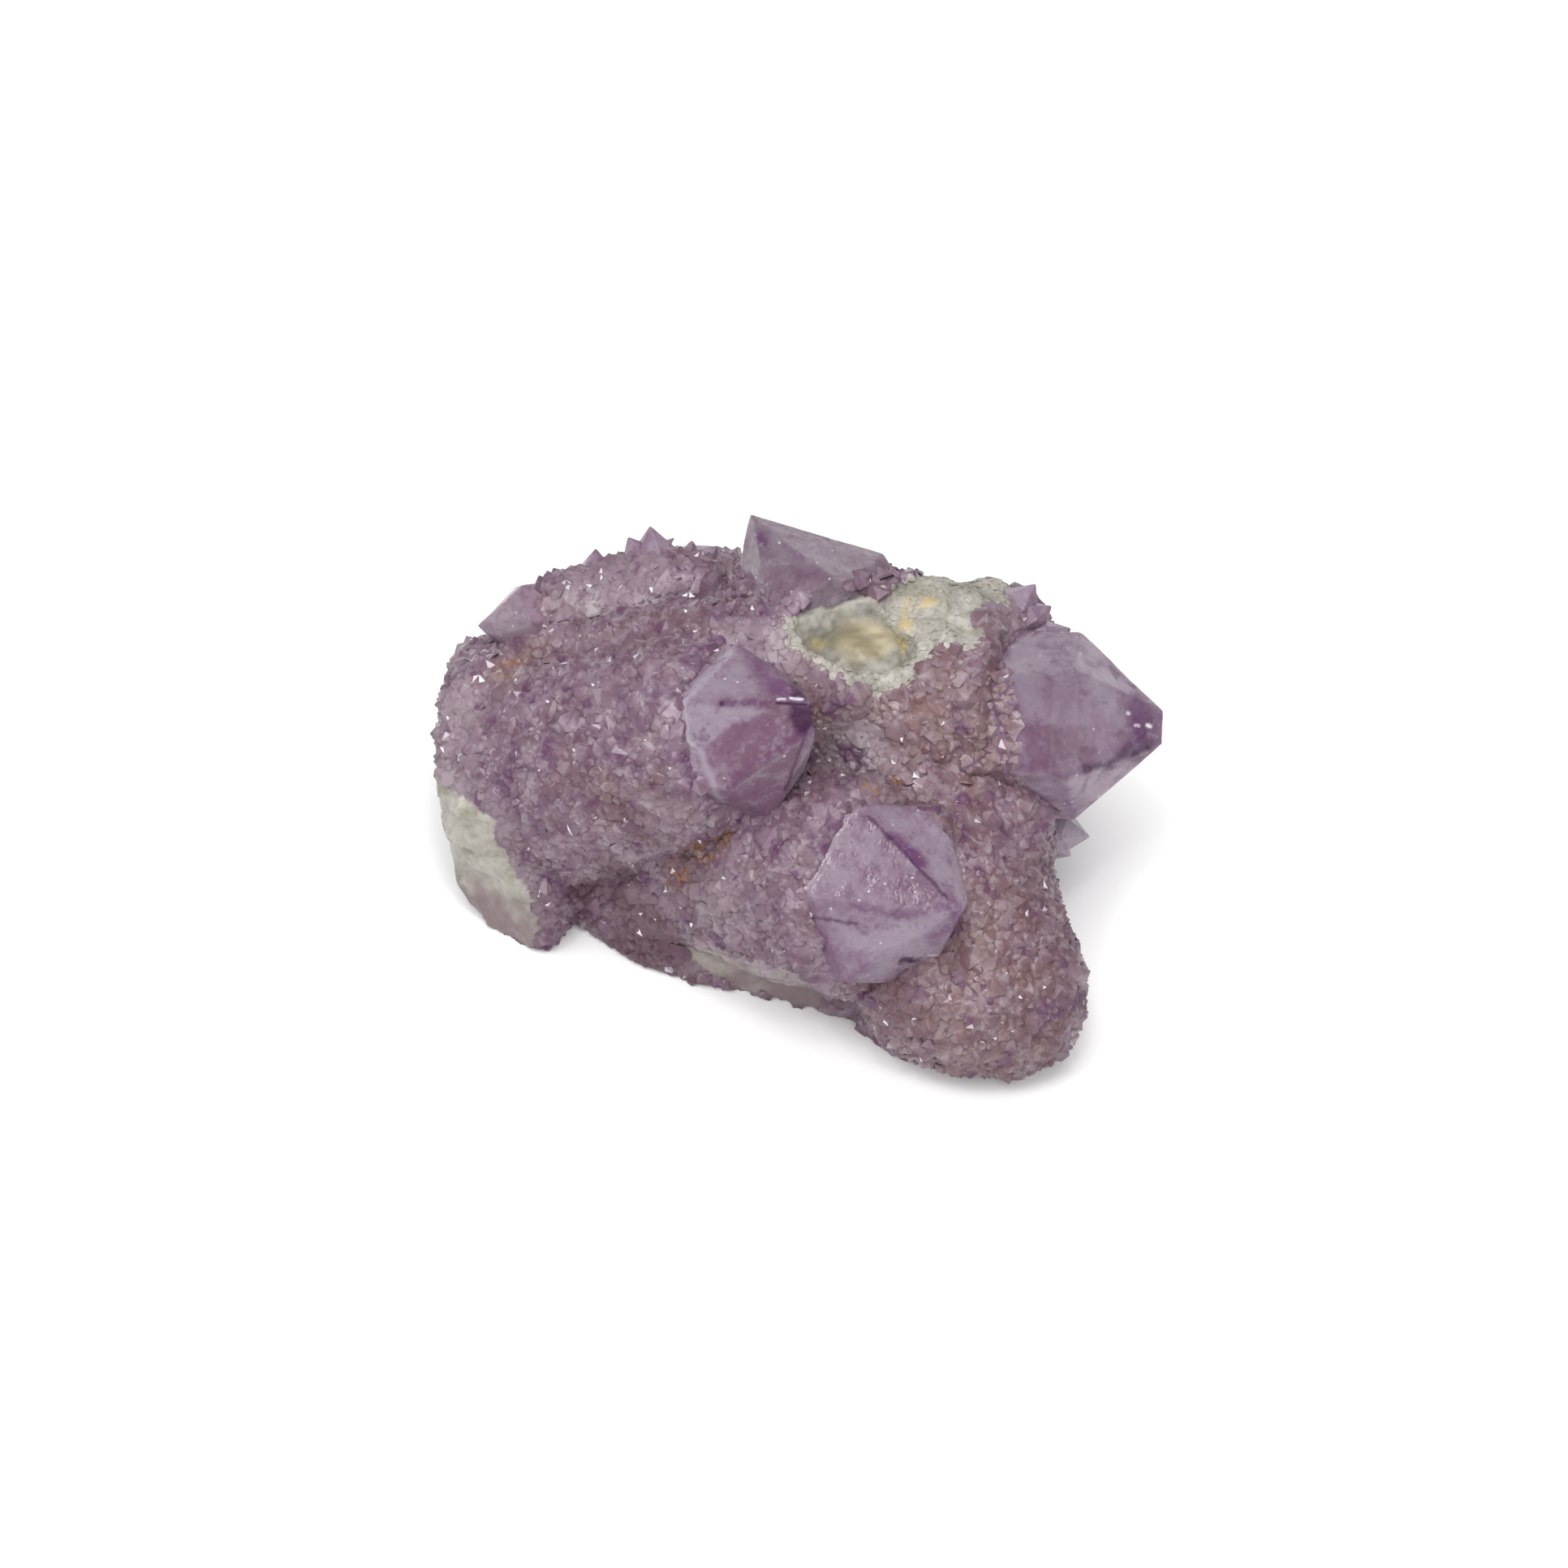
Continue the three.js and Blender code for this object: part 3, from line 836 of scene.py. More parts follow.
class Effects:
    """The shader groups that several finishes share, each built once."""

    def __init__(self) -> None:
        """Builds every group."""
        self.cloud = self.build_cloud()
        self.relief = self.build_relief()
        self.tip_zone = self.build_tip_zone()
        self.mottle = self.build_mottle()
        self.growth = self.build_growth()
        self.break_face = self.build_break()

    @staticmethod
    def build_cloud() -> bpy.types.NodeTree:
        """Milky clouds inside quartz.

        Returns:
            A group that puts out soft patches and finer wisps, for clouds of a size in metres.
        """
        graph, start, end = shader_group(
            "Milky cloud", {"Size": Kind.NUMBER}, {"Patches": Kind.NUMBER, "Wisps": Kind.NUMBER}
        )
        scale = graph.math("DIVIDE", 1.0, start.outputs["Size"])
        graph.feed(end.inputs["Patches"], graph.spread(graph.noise(scale, 2.0), 0.36, 0.66))
        wisps = graph.noise(graph.times(scale, 3.2), 4.0, distortion=0.5)
        graph.feed(end.inputs["Wisps"], graph.spread(wisps, 0.4, 0.7))
        return graph.tree

    @staticmethod
    def build_relief() -> bpy.types.NodeTree:
        """The fine relief of a quartz surface.

        Returns:
            A group that puts out the height of growth hills and pits of a size in metres.
        """
        graph, start, end = shader_group("Quartz relief", {"Size": Kind.NUMBER}, {"Height": Kind.NUMBER})
        scale = graph.math("DIVIDE", 1.0, start.outputs["Size"])
        fine = graph.noise(graph.times(scale, 2.4), 4.0)
        graph.feed(end.inputs["Height"], graph.add(graph.times(graph.cells(scale), 0.5), fine))
        return graph.tree

    @staticmethod
    def build_tip_zone() -> bpy.types.NodeTree:
        """How near a place is to a crystal's tip, measured along the crystal.

        Returns:
            A group that puts out a mask, 1 where it is full and 0 from where there is none.
        """
        graph, start, end = shader_group(
            "Tip zone",
            {"Tip": Kind.VECTOR, "Along": Kind.VECTOR, "Full": Kind.NUMBER, "None": Kind.NUMBER},
            {"Mask": Kind.NUMBER},
        )
        back = graph.vector("SUBTRACT", start.outputs["Tip"], graph.place()).outputs["Vector"]
        behind = graph.vector("DOT_PRODUCT", back, start.outputs["Along"]).outputs["Value"]
        graph.feed(end.inputs["Mask"], graph.spread(behind, start.outputs["None"], start.outputs["Full"]))
        return graph.tree

    @staticmethod
    def build_mottle() -> bpy.types.NodeTree:
        """The grainy look of natural quartz.

        Returns:
            A group that puts out paler and deeper flecks, and fine specks.
        """
        outputs = {"Pale": Kind.NUMBER, "Deep": Kind.NUMBER, "Specks": Kind.NUMBER}
        graph, start, end = shader_group("Mottled quartz", {"Size": Kind.NUMBER}, outputs)
        scale = graph.math("DIVIDE", 1.0, start.outputs["Size"])
        broad, fine = graph.noise(scale, 5.0), graph.noise(graph.times(scale, 3.7), 4.0)
        both = graph.add(graph.times(broad, 0.55), graph.times(fine, 0.45))
        specks = graph.spread(graph.cells(scale), 0.1, 0.05)
        graph.feed(end.inputs["Pale"], graph.times(graph.spread(both, 0.5, 0.66), 0.6))
        graph.feed(end.inputs["Deep"], graph.times(graph.spread(both, 0.5, 0.34), 0.6))
        graph.feed(end.inputs["Specks"], graph.times(specks, 0.7))
        return graph.tree

    @staticmethod
    def build_growth() -> bpy.types.NodeTree:
        """The colour of crusted quartz, where each small crystal has its own tone.

        The mesh's own numbers say how brown, pale, deep or stained each place is, which crystals
        are purple at the tip, which facets are painted lighter or darker as if they caught or missed
        the light, and which carry a painted white glint. Some pale places are painted light, and
        some brown and deep ones painted shade.

        Returns:
            A group that puts out the colour and a share for the gloss.
        """
        shades = [name.capitalize().replace("_", " ") for name in CRUST_COLOURS]
        graph, start, end = shader_group("Crystal growth", dict.fromkeys(shades, Kind.COLOUR), TINTED)
        given, drift = start.outputs, graph.speckle(Speckles.DRIFT.value)
        share = graph.add(graph.times(graph.attribute("tone"), 0.35), graph.times(drift, 0.65))
        mauve = graph.mix(share, given["Mauve pale"], given["Mauve deep"])
        brown = graph.mix(share, given["Brown pale"], given["Brown deep"])
        swing = graph.times(graph.less(graph.speckle(Speckles.SWING.value), 0.5), 0.7)
        colour = graph.mix(graph.add(graph.attribute("brown"), swing, clamp=True), mauve, brown)
        # Painted sheen and shade: facets marked above 0.65 are painted paler and those below 0.35 darker, as
        # if they caught or missed the light, with fine grain over them.
        facet, grain = graph.attribute("facet"), graph.noise(560.0, 6.0)
        painted_facet_light = graph.times(graph.less(facet, 0.65, clamp=True), 1.1)
        lit = graph.add(painted_facet_light, graph.times(graph.spread(grain, 0.5, 0.68), 0.4))
        dull = graph.times(graph.less(0.35, facet, clamp=True), 0.9)
        painted_shade_and_grain = graph.add(dull, graph.times(graph.spread(grain, 0.5, 0.32), 0.35))
        # The pale places and paler facets are partly painted light, the deep places and darker facets partly
        # painted shade.
        colour = graph.mix(graph.most(graph.attribute("pale"), lit), colour, given["Milk"])
        colour = graph.mix(graph.most(graph.attribute("deep"), painted_shade_and_grain), colour, given["Shade"])
        tip = graph.times(graph.spread(graph.attribute("tip"), 0.1, 0.9), graph.speckle(Speckles.BLOT.value))
        zone = graph.times(graph.speckle(Speckles.ZONE.value), 0.75)
        purple = graph.most(graph.times(graph.attribute("purple"), tip), zone)
        colour = graph.mix(purple, colour, given["Tip"])
        stain = graph.times(graph.attribute("stain"), graph.speckle(Speckles.STAIN.value))
        colour = graph.mix(stain, colour, given["Stain"])
        dot = graph.spread(graph.cells(240.0), 0.06, 0.03)
        colour = graph.mix(graph.times(dot, graph.attribute("brown")), colour, given["Shade"])
        # Painted glints: a few facets painted near white, as if they caught a lamp.
        colour = graph.mix(graph.attribute("flash"), colour, given["Flash"])
        graph.feed(end.inputs["Colour"], colour)
        graph.feed(end.inputs["Gloss"], drift)
        return graph.tree

    @staticmethod
    def build_break() -> bpy.types.NodeTree:
        """The colour of broken quartz: milky and sugary, with clearer veins and stained places.

        The mesh's own numbers say how sunk, ochre or mauve each place is.

        Returns:
            A group that puts out the colour and a share for the gloss.
        """
        names = ("Light", "Dull", "Sunk", "Ochre", "Mauve")
        graph, start, end = shader_group("Broken face", dict.fromkeys(names, Kind.COLOUR), TINTED)
        given, fine = start.outputs, graph.speckle(Speckles.SUGAR.value)
        share = graph.add(graph.times(graph.speckle(Speckles.BROAD.value), 0.6), graph.times(fine, 0.4))
        colour = graph.mix(share, given["Light"], given["Dull"])
        colour = graph.mix(graph.attribute("sunk"), colour, given["Sunk"])
        colour = graph.mix(graph.attribute("flush"), colour, given["Mauve"])
        patchy = graph.times(graph.attribute("ochre"), graph.speckle(Speckles.OCHRE.value))
        colour = graph.mix(patchy, colour, given["Ochre"])
        graph.feed(end.inputs["Colour"], colour)
        graph.feed(end.inputs["Gloss"], fine)
        return graph.tree


QUARTZ_IOR = 1.544


def new_material(name: str) -> tuple[Graph, bpy.types.Node]:
    """Starts a material.

    Args:
        name: Its name.

    Returns:
        A graph on its nodes, and its Principled shader.
    """
    material = bpy.data.materials.new(name)
    material.use_nodes = True
    return Graph(material.node_tree), material.node_tree.nodes["Principled BSDF"]


@dataclass(frozen=True)
class Relief:
    """A finish's fine relief: its size in mm, its strength, and how much light goes round inside."""

    size: float
    strength: float
    glowing: float


def set_inputs(shader: bpy.types.Node, **values: Value) -> None:
    """Sets a shader's own sockets by name, with _ for a space."""
    for name, value in values.items():
        shader.inputs[name.replace("_", " ")].default_value = value


def add_relief(graph: Graph, effects: Effects, shader: bpy.types.Node, relief: Relief) -> None:
    """Gives a finish its fine relief.

    Args:
        graph: The material's graph.
        effects: The shared shader groups.
        shader: The Principled shader.
        relief: The relief's size, strength and light.
    """
    size = relief.size * MM
    bump = graph.fed(
        "Bump",
        {
            "Strength": relief.strength,
            "Distance": size / 6,
            "Height": graph.group(effects.relief, Size=size).outputs["Height"],
            "Normal": lit_way(graph, relief.glowing),
        },
    )
    graph.feed(shader.inputs["Normal"], bump.outputs["Normal"])


def lit_way(graph: Graph, glowing: float) -> bpy.types.NodeSocket:
    """The direction that a facet is lit from.

    Light goes round inside quartz, so a facet is lit partly as the whole crystal is.

    Args:
        graph: The material's graph.
        glowing: How much the direction in the mesh's out attribute counts beside the facet's own.

    Returns:
        The direction.
    """
    own = graph.node("NewGeometry").outputs["Normal"]
    shared = graph.node("Attribute", attribute_name="out").outputs["Vector"]
    part = graph.fed("VectorMath", {0: shared, "Scale": glowing}, operation="SCALE").outputs["Vector"]
    both = graph.vector("ADD", own, part).outputs["Vector"]
    return graph.vector("NORMALIZE", both).outputs["Vector"]


@dataclass(frozen=True)
class BrokenFinish:
    """Broken quartz: sugary and pale, yellower and darker down in the pocket."""

    name: str = "broken quartz"
    light: Colour = tint(157, 153, 146)
    dull: Colour = tint(114, 111, 96)
    sunk: Colour = tint(166, 156, 130)
    ochre: Colour = tint(176, 156, 104)
    mauve: Colour = tint(112, 94, 98)
    relief: Relief = Relief(0.5, 0.3, 1.0)

    def grown(self, graph: Graph, effects: Effects) -> bpy.types.Node:
        """Places the group that colours broken quartz, with this finish's colours."""
        shades = {"Light": self.light, "Dull": self.dull, "Sunk": self.sunk, "Ochre": self.ochre}
        return graph.group(effects.break_face, **shades, Mauve=self.mauve)

    def material(self, effects: Effects) -> bpy.types.Material:
        """Builds the finish.

        Args:
            effects: The shared shader groups.

        Returns:
            The material.
        """
        graph, shader = new_material(self.name)
        grown = self.grown(graph, effects)
        graph.feed(shader.inputs["Base Color"], grown.outputs["Colour"])
        graph.feed(shader.inputs["Roughness"], graph.spread(grown.outputs["Gloss"], -1.2, 1.6))
        add_relief(graph, effects, shader, self.relief)
        set_inputs(shader, IOR=QUARTZ_IOR)
        return bpy.data.materials[self.name]


@dataclass(frozen=True)
class CrustFinish:
    """Small amethyst crystals grown together: mauve, browner, paler or stained from place to place."""

    name: str = "amethyst crust"
    mauve_pale: Colour = tint(124, 103, 118)
    mauve_deep: Colour = tint(90, 64, 84)
    brown_pale: Colour = tint(118, 93, 94)
    brown_deep: Colour = tint(92, 64, 67)
    # milk and shade colour the pale and deep places and the paler and darker facets, partly the crust's own
    # tones and partly painted light and painted shade; shade also colours the small pits
    milk: Colour = tint(148, 135, 142)
    shade: Colour = tint(76, 46, 58)
    tip: Colour = tint(80, 40, 76)
    stain: Colour = tint(140, 98, 44)
    # the near white of the painted glints
    flash: Colour = tint(222, 216, 224)
    broken: BrokenFinish = BrokenFinish()
    relief: Relief = Relief(0.7, 0.3, 1.3)
    specular: float = 0.4

    def grown(self, graph: Graph, effects: Effects) -> bpy.types.Node:
        """Places the group that colours crusted quartz.

        Args:
            graph: The material's graph.
            effects: The shared shader groups.

        Returns:
            The group, with this finish's colours.
        """
        colours = {name.capitalize(): getattr(self, name) for name in CRUST_COLOURS}
        return graph.group(effects.growth, **colours)

    def material(self, effects: Effects) -> bpy.types.Material:
        """Builds the finish.

        Args:
            effects: The shared shader groups.

        Returns:
            The material.
        """
        graph, shader = new_material(self.name)
        grown, broken = self.grown(graph, effects), self.broken.grown(graph, effects)
        colour = graph.mix(graph.attribute("bare"), grown.outputs["Colour"], broken.outputs["Colour"])
        graph.feed(shader.inputs["Base Color"], colour)
        graph.feed(shader.inputs["Roughness"], graph.spread(grown.outputs["Gloss"], -0.7, 2.2))
        add_relief(graph, effects, shader, self.relief)
        set_inputs(shader, IOR=QUARTZ_IOR, Specular_IOR_Level=self.specular)
        return bpy.data.materials[self.name]


class Zone(Enum):
    """The coloured zones inside a clear point and its painted glints, in the order in which they are laid."""

    MILK = "milk"
    WARM = "warm"
    BROWN = "brown"
    PURPLE = "purple"
    DARK = "dark"
    # painted glints, where a ridge would catch a lamp
    FLASH = "flash"


ZONE_COLOURS: dict[Zone, Colour] = {
    Zone.MILK: tint(158, 147, 160),
    Zone.WARM: tint(114, 80, 100),
    Zone.BROWN: tint(98, 60, 70),
    Zone.PURPLE: tint(90, 40, 92),
    Zone.DARK: tint(54, 2, 52),
    # the near white painted where a ridge would catch a lamp
    Zone.FLASH: tint(240, 236, 242),
}


@dataclass(frozen=True)
class Patch:
    """A zone of colour in a clear point, drawn across and up the layout, in mm.

    With a width it is a line along its outline, and without one it fills the outline.
    """

    zone: Zone
    outline: tuple[Pair, ...]
    share: float
    soft: float
    width: float = 0.0
    wander: float = 0.35

    def at(self, spots: np.ndarray, swing: np.ndarray) -> np.ndarray:
        """How strongly each spot shows the patch.

        Args:
            spots: Spots of the layout.
            swing: How far each spot strays, for a wander of 1 mm.

        Returns:
            A share from 0 to 1 for each.
        """
        strayed = spots + self.wander * swing
        away = distance_to(strayed, self.outline, closed=self.width == 0)
        if self.width:
            away = away - self.width
        else:
            away = np.where(inside_outline(strayed, self.outline), -away, away)
        return self.share * np.clip(0.5 - away / (2 * self.soft), 0, 1)


@dataclass(frozen=True)
class PointFinish:
    """Clear to milky amethyst: zoned inside, and purple towards its tip."""

    name: str
    point: QuartzPoint
    body: Colour = tint(130, 108, 126)
    cloudy: Colour = tint(118, 93, 112)
    milk: Colour = tint(146, 134, 146)
    purple: Colour = tint(88, 44, 94)
    depth: Colour = tint(104, 74, 98)
    speck: Colour = tint(214, 208, 216)
    tip_full: float = 1.0
    tip_none: float = 7.0
    tip_share: float = 0.5
    cloud_size: float = 7.5
    mottle_size: float = 2.2
    relief: Relief = Relief(1.6, 0.12, 1.1)
    specular: float = 0.22
    clearness: float = 0.15
    glow: float = 0.5
    glow_reach: float = 0.22
    glow_colours: Triple = (1.0, 0.8, 0.95)
    soak: Colour = tint(206, 178, 210)
    soak_density: float = 60.0

    def material(self, effects: Effects) -> bpy.types.Material:
        """Builds the finish.

        Args:
            effects: The shared shader groups.

        Returns:
            The material.
        """
        graph, shader = new_material(self.name)
        cloud = graph.group(effects.cloud, Size=self.cloud_size * MM)
        colour = graph.mix(cloud.outputs["Patches"], self.body, self.cloudy)
        colour = graph.mix(graph.times(cloud.outputs["Wisps"], 0.3), colour, self.milk)
        colour = graph.mix(self.tip_mask(graph, effects, cloud), colour, self.purple)
        for zone in Zone:
            if zone is Zone.DARK:
                mottle = graph.group(effects.mottle, Size=self.mottle_size * MM).outputs
                colour = graph.mix(mottle["Pale"], colour, self.milk)
                colour = graph.mix(mottle["Deep"], colour, self.depth)
                colour = graph.mix(mottle["Specks"], colour, self.speck)
            colour = graph.mix(graph.attribute(zone.value), colour, ZONE_COLOURS[zone])
        graph.feed(shader.inputs["Base Color"], colour)
        graph.feed(shader.inputs["Roughness"], graph.spread(cloud.outputs["Wisps"], -0.6, 2.6))
        add_relief(graph, effects, shader, self.relief)
        clear = {"IOR": QUARTZ_IOR, "Specular_IOR_Level": self.specular,
            "Transmission_Weight": self.clearness}
        reach = {"Subsurface_Radius": self.glow_colours, "Subsurface_Scale": self.glow_reach * MM}
        set_inputs(shader, **clear, **reach, Subsurface_Weight=self.glow)
        soak = graph.fed("VolumeAbsorption", {"Color": self.soak, "Density": self.soak_density})
        graph.feed(graph.tree.nodes["Material Output"].inputs["Volume"], soak.outputs["Volume"])
        return bpy.data.materials[self.name]

    def tip_mask(self, graph: Graph, effects: Effects, cloud: bpy.types.Node) -> bpy.types.NodeSocket:
        """Where the purple of the tip shows.

        Args:
            graph: The material's graph.
            effects: The shared shader groups.
            cloud: The group whose wisps make its edge ragged.

        Returns:
            Its share at each place.
        """
        tip, along = tuple(LAYOUT.place(self.point.tip) * MM), tuple(self.point.axes.along)
        limits = {"Full": self.tip_full * MM, "None": self.tip_none * MM}
        zone = graph.group(effects.tip_zone, Tip=tip, Along=along, **limits)
        ragged = graph.less(zone.outputs["Mask"], graph.times(cloud.outputs["Wisps"], 0.25), clamp=True)
        return graph.math("MULTIPLY", ragged, self.tip_share, clamp=True)


@dataclass(frozen=True)
class Blush:
    """A soft-edged place of the surface with a colour of its own, at a spot of the layout."""

    spot: Pair
    radius: float
    share: float


BLUSHES: dict[str, tuple[Blush, ...]] = {
    "brown": (
        Blush((20.4, 6.6), 13, 1.0), Blush((14.4, 12.6), 7, 0.8), Blush((23.4, -18.4), 13, 1.0),
        # painted shadow: the brown blush at (-32.6, 14.6) is the shadow under the small left point
        Blush((28.4, -32.4), 12, 0.8), Blush((18.4, -28.4), 8, 0.9), Blush((-32.6, 14.6), 4.5, 0.9),
        Blush((4.4, 7.6), 6, 0.8), Blush((-19.6, -2.4), 9, 0.4), Blush((-26.6, 16.6), 8, 0.45),
        Blush((-13.6, 19.6), 6, 0.4),
    ),
    "pale": (
        Blush((-34.6, 22.6), 4.5, 0.8), Blush((-40.6, 8.6), 4.5, 0.7), Blush((-40.6, 16.6), 4, 0.7),
        Blush((-42.1, 1.6), 4, 0.5), Blush((-20.6, 26.6), 8, 0.4), Blush((-0.6, 17.6), 3.8, 0.6),
        Blush((9.4, 13.4), 4.5, 0.4), Blush((35.2, -6.4), 2.6, 1.0), Blush((-8.6, -14.4), 7, 0.45),
        Blush((27.4, 22.6), 4, 0.5), Blush((11.4, -0.9), 3, 0.3), Blush((-24.6, 23.1), 1.5, 1.0),
        Blush((-26.9, 23.5), 1, 1.0), Blush((-32.4, 13.6), 1.4, 0.8), Blush((-41, 0.6), 2.4, 0.6),
        Blush((-37.6, -2.4), 2, 0.6), Blush((-34.6, -6), 2, 0.6), Blush((-32.4, -11.6), 1.8, 0.6),
        # painted light: (8.4, 4.4) is painted paler where the left point shades the crust beside its tip
        Blush((8.4, 4.4), 4.6, 0.9), Blush((-22.6, 10.4), 2, 0.5), Blush((-38.4, 19), 1.6, 0.7),
    ),
    "deep": (
        # darker under the candles and in the groove between the left and front ones: partly the crust's own
        # deeper tone, partly painted shade
        Blush((-20.6, -12.4), 6, 0.55), Blush((-31.6, -14.4), 4.5, 0.4), Blush((-10.6, -9.4), 4.5, 0.7),
        Blush((-16.6, -20.4), 8, 0.9), Blush((-26.6, -18.4), 6, 0.8), Blush((4.6, 1.4), 2.6, 0.3),
        Blush((13.4, -26.4), 4, 0.5), Blush((32.4, -9.4), 5, 0.25), Blush((1.4, -7.4), 3, 0.3),
    ),
    "stain": (
        Blush((-9.6, -8), 2, 1.0), Blush((-7.6, -6.2), 1.6, 0.9), Blush((-12.6, -11), 2, 0.7),
        Blush((-34.2, 14.6), 1.7, 0.6), Blush((10.9, -0.9), 1.2, 0.9), Blush((13.9, 0.1), 1, 0.9),
        Blush((16.4, 8.6), 3, 0.2), Blush((11.9, 11.6), 1, 0.6),
    ),
}  # fmt: skip


class BlushMap:
    """How brown, pale, deep and stained each place of the crust is, with some painted light and shade."""

    stray: float = 1.1
    stray_size: float = 3.0

    def __init__(self, bed: Bed) -> None:
        """Finds where each blush lies on the bed.

        Args:
            bed: The bed.
        """
        self.spots = {
            name: [(bed.surface_at(blush.spot), blush.radius, blush.share) for blush in blushes]
            for name, blushes in BLUSHES.items()
        }

    def mark(self, mesh: bpy.types.Mesh, points: np.ndarray, repeat: int = 1) -> None:
        """Gives a mesh its share of each blush.

        Args:
            mesh: The mesh.
            points: Where its points, or its crystals, are.
            repeat: How many of the mesh's points go with each of them.
        """
        ragged = points + self.stray * straying(points, (0, 40, 80), (self.stray_size, 1))
        for name, spots in self.spots.items():
            share = np.zeros(len(points))
            for spot, radius, strength in spots:
                away = np.linalg.norm(ragged - spot, axis=1) / radius
                share = 1 - (1 - share) * (1 - strength * np.exp(-(away**2)))
            mark(mesh, name, np.repeat(share, repeat))


@dataclass
class Bed:
    """The quartz that the crust grows on: bodies, masses and roots grown together, then broken.

    Its sizes are in mm. A layer of relief is its size and its height.
    """

    coarse: float = 0.7
    fine: float = 0.5
    relief: float = 0.28
    swell: tuple[Pair, ...] = ((3.1, 1), (1.1, 0.5))
    fill: float = 0.5
    step: float = 0.2
    steps: Pair = (2.6, 0.5)
    slope: Pair = (4.0, 0.6)
    flat_below: float = 0.12
    root_depth: float = 2.0
    cutter_size: float = 200.0
    pocket_corners: int = 18
    pocket_range: Pair = (0.9, 1.08)
    # 0.5 paints the bed's facets neither lighter nor darker
    facet: float = 0.5
    tone: Pair = (1.2, 0.5)

    def __post_init__(self) -> None:
        """Builds the bed's mesh and what is needed to grow things on it."""
        self.object = shown("quartz_bed", mesh_of("quartz_bed", *joined(self.forms())))
        self.carve()
        self.roughen()
        mesh = self.object.data
        self.points = read(mesh, "co") / MM
        self.tree = BVHTree.FromPolygons(self.points.tolist(), [list(p.vertices) for p in mesh.polygons])

    def forms(self) -> list[Form]:
        """Every body, mass and root.

        Returns:
            Each as a form of its own.
        """
        forms = [hull(candle.body_points()) for candle in CANDLES.values()]
        directions, _ = ball(2)
        for balls in MASSES.values():
            forms.append(
                hull(np.concatenate([directions * radius + LAYOUT.place(spot) for *spot, radius in balls]))
            )
        for height, footprint in ROOTS:
            ground = np.array(footprint)
            top = (ground - ground.mean(axis=0)) * ROOT_TOP_SHARE + ground.mean(axis=0)
            levels = [(ground, -self.root_depth), (ground, height / 4), (top, height)]
            forms.append(hull(np.concatenate([np.c_[ring, np.full(len(ring), z)] for ring, z in levels])))
        return forms

    def carve(self) -> None:
        """Grows the forms together, then takes away the pocket, the left break and the base."""
        cutters = [
            self.block(LAYOUT.place(BREAK_PLACE), unit(LAYOUT.way(BREAK_FACING))),
            self.block(np.zeros(3), np.array([0, 0, -1.0])),
            self.pocket(),
        ]
        grow_skin(self.object, self.coarse)
        for cutter in cutters:
            take_away(self.object, cutter)
        grow_skin(self.object, self.fine)
        settle(self.object)
        for cutter in cutters:
            bpy.data.objects.remove(cutter)

    def block(self, place: np.ndarray, facing: np.ndarray) -> bpy.types.Object:
        """A block that fills the space beyond a plane.

        Args:
            place: A place on the plane, in mm.
            facing: The way from the plane into the block.

        Returns:
            The block.
        """
        form = bmesh.new()
        bmesh.ops.create_cube(form, size=self.cutter_size)
        turn = Vector((0, 0, 1)).rotation_difference(Vector(facing)).to_matrix().to_4x4()
        move = Matrix.Translation(Vector(place + facing * self.cutter_size / 2) * MM)
        form.transform(move @ turn @ Matrix.Scale(MM, 4))
        mesh = bpy.data.meshes.new("cutter")
        form.to_mesh(mesh)
        form.free()
        return shown("cutter", mesh)

    @classmethod
    def pocket(cls, wider: float = 0.0) -> bpy.types.Object:
        """The form of the pocket, a little ragged round its levels.

        Args:
            wider: How much wider it is all round, in mm.

        Returns:
            The form.
        """
        rng = np.random.default_rng(SEED)
        turns = np.linspace(0, 2 * np.pi, cls.pocket_corners, endpoint=False)
        rings = [
            np.c_[
                POCKET_CENTRE[0] + (long + wider) * np.cos(turns) * rng.uniform(*cls.pocket_range,
                    turns.size),
                POCKET_CENTRE[1] + (wide + wider) * np.sin(turns) * rng.uniform(*cls.pocket_range,
                    turns.size),
                np.full(turns.size, height - wider),
            ]
            for height, long, wide in POCKET_LEVELS
        ]
        return shown("cutter", mesh_of("cutter", *hull(np.concatenate(rings))))

    def roughen(self) -> None:
        """Pushes the skin in and out a little everywhere but on the flat base."""
        mesh = self.object.data
        points, normals = read(mesh, "co") / MM, read(mesh, "normal")
        broken = bare(points)
        size, height = self.steps
        steps = self.step * np.round(wavering(points, size) * height / self.step) + waves(points, self.slope)
        knob = np.linalg.norm((LAYOUT.seen(points)[:, :2] - BREAK_KNOB) / BREAK_KNOB_SIZE, axis=1)
        steps += BREAK_KNOB_RISE * np.exp(-(knob**2))
        rise = self.relief * waves(points, *self.swell) + np.where(broken, steps, self.fill)
        rise[points[:, 2] < self.flat_below] = 0
        points += normals * rise[:, None]
        points[:, 2] = np.maximum(points[:, 2], 0)
        mesh.vertices.foreach_set("co", (points * MM).ravel())
        mesh.update()

    def surface_at(self, spot: Pair) -> np.ndarray:
        """The place on the bed that the camera sees.

        Args:
            spot: How far across and up the layout, in mm.

        Returns:
            The place, or one in the air where the bed isn't seen.
        """
        start = LAYOUT.place((*spot, 100))
        hit = self.tree.ray_cast(Vector(start), Vector(-TOWARD))[0]
        return start if hit is None else np.array(hit)

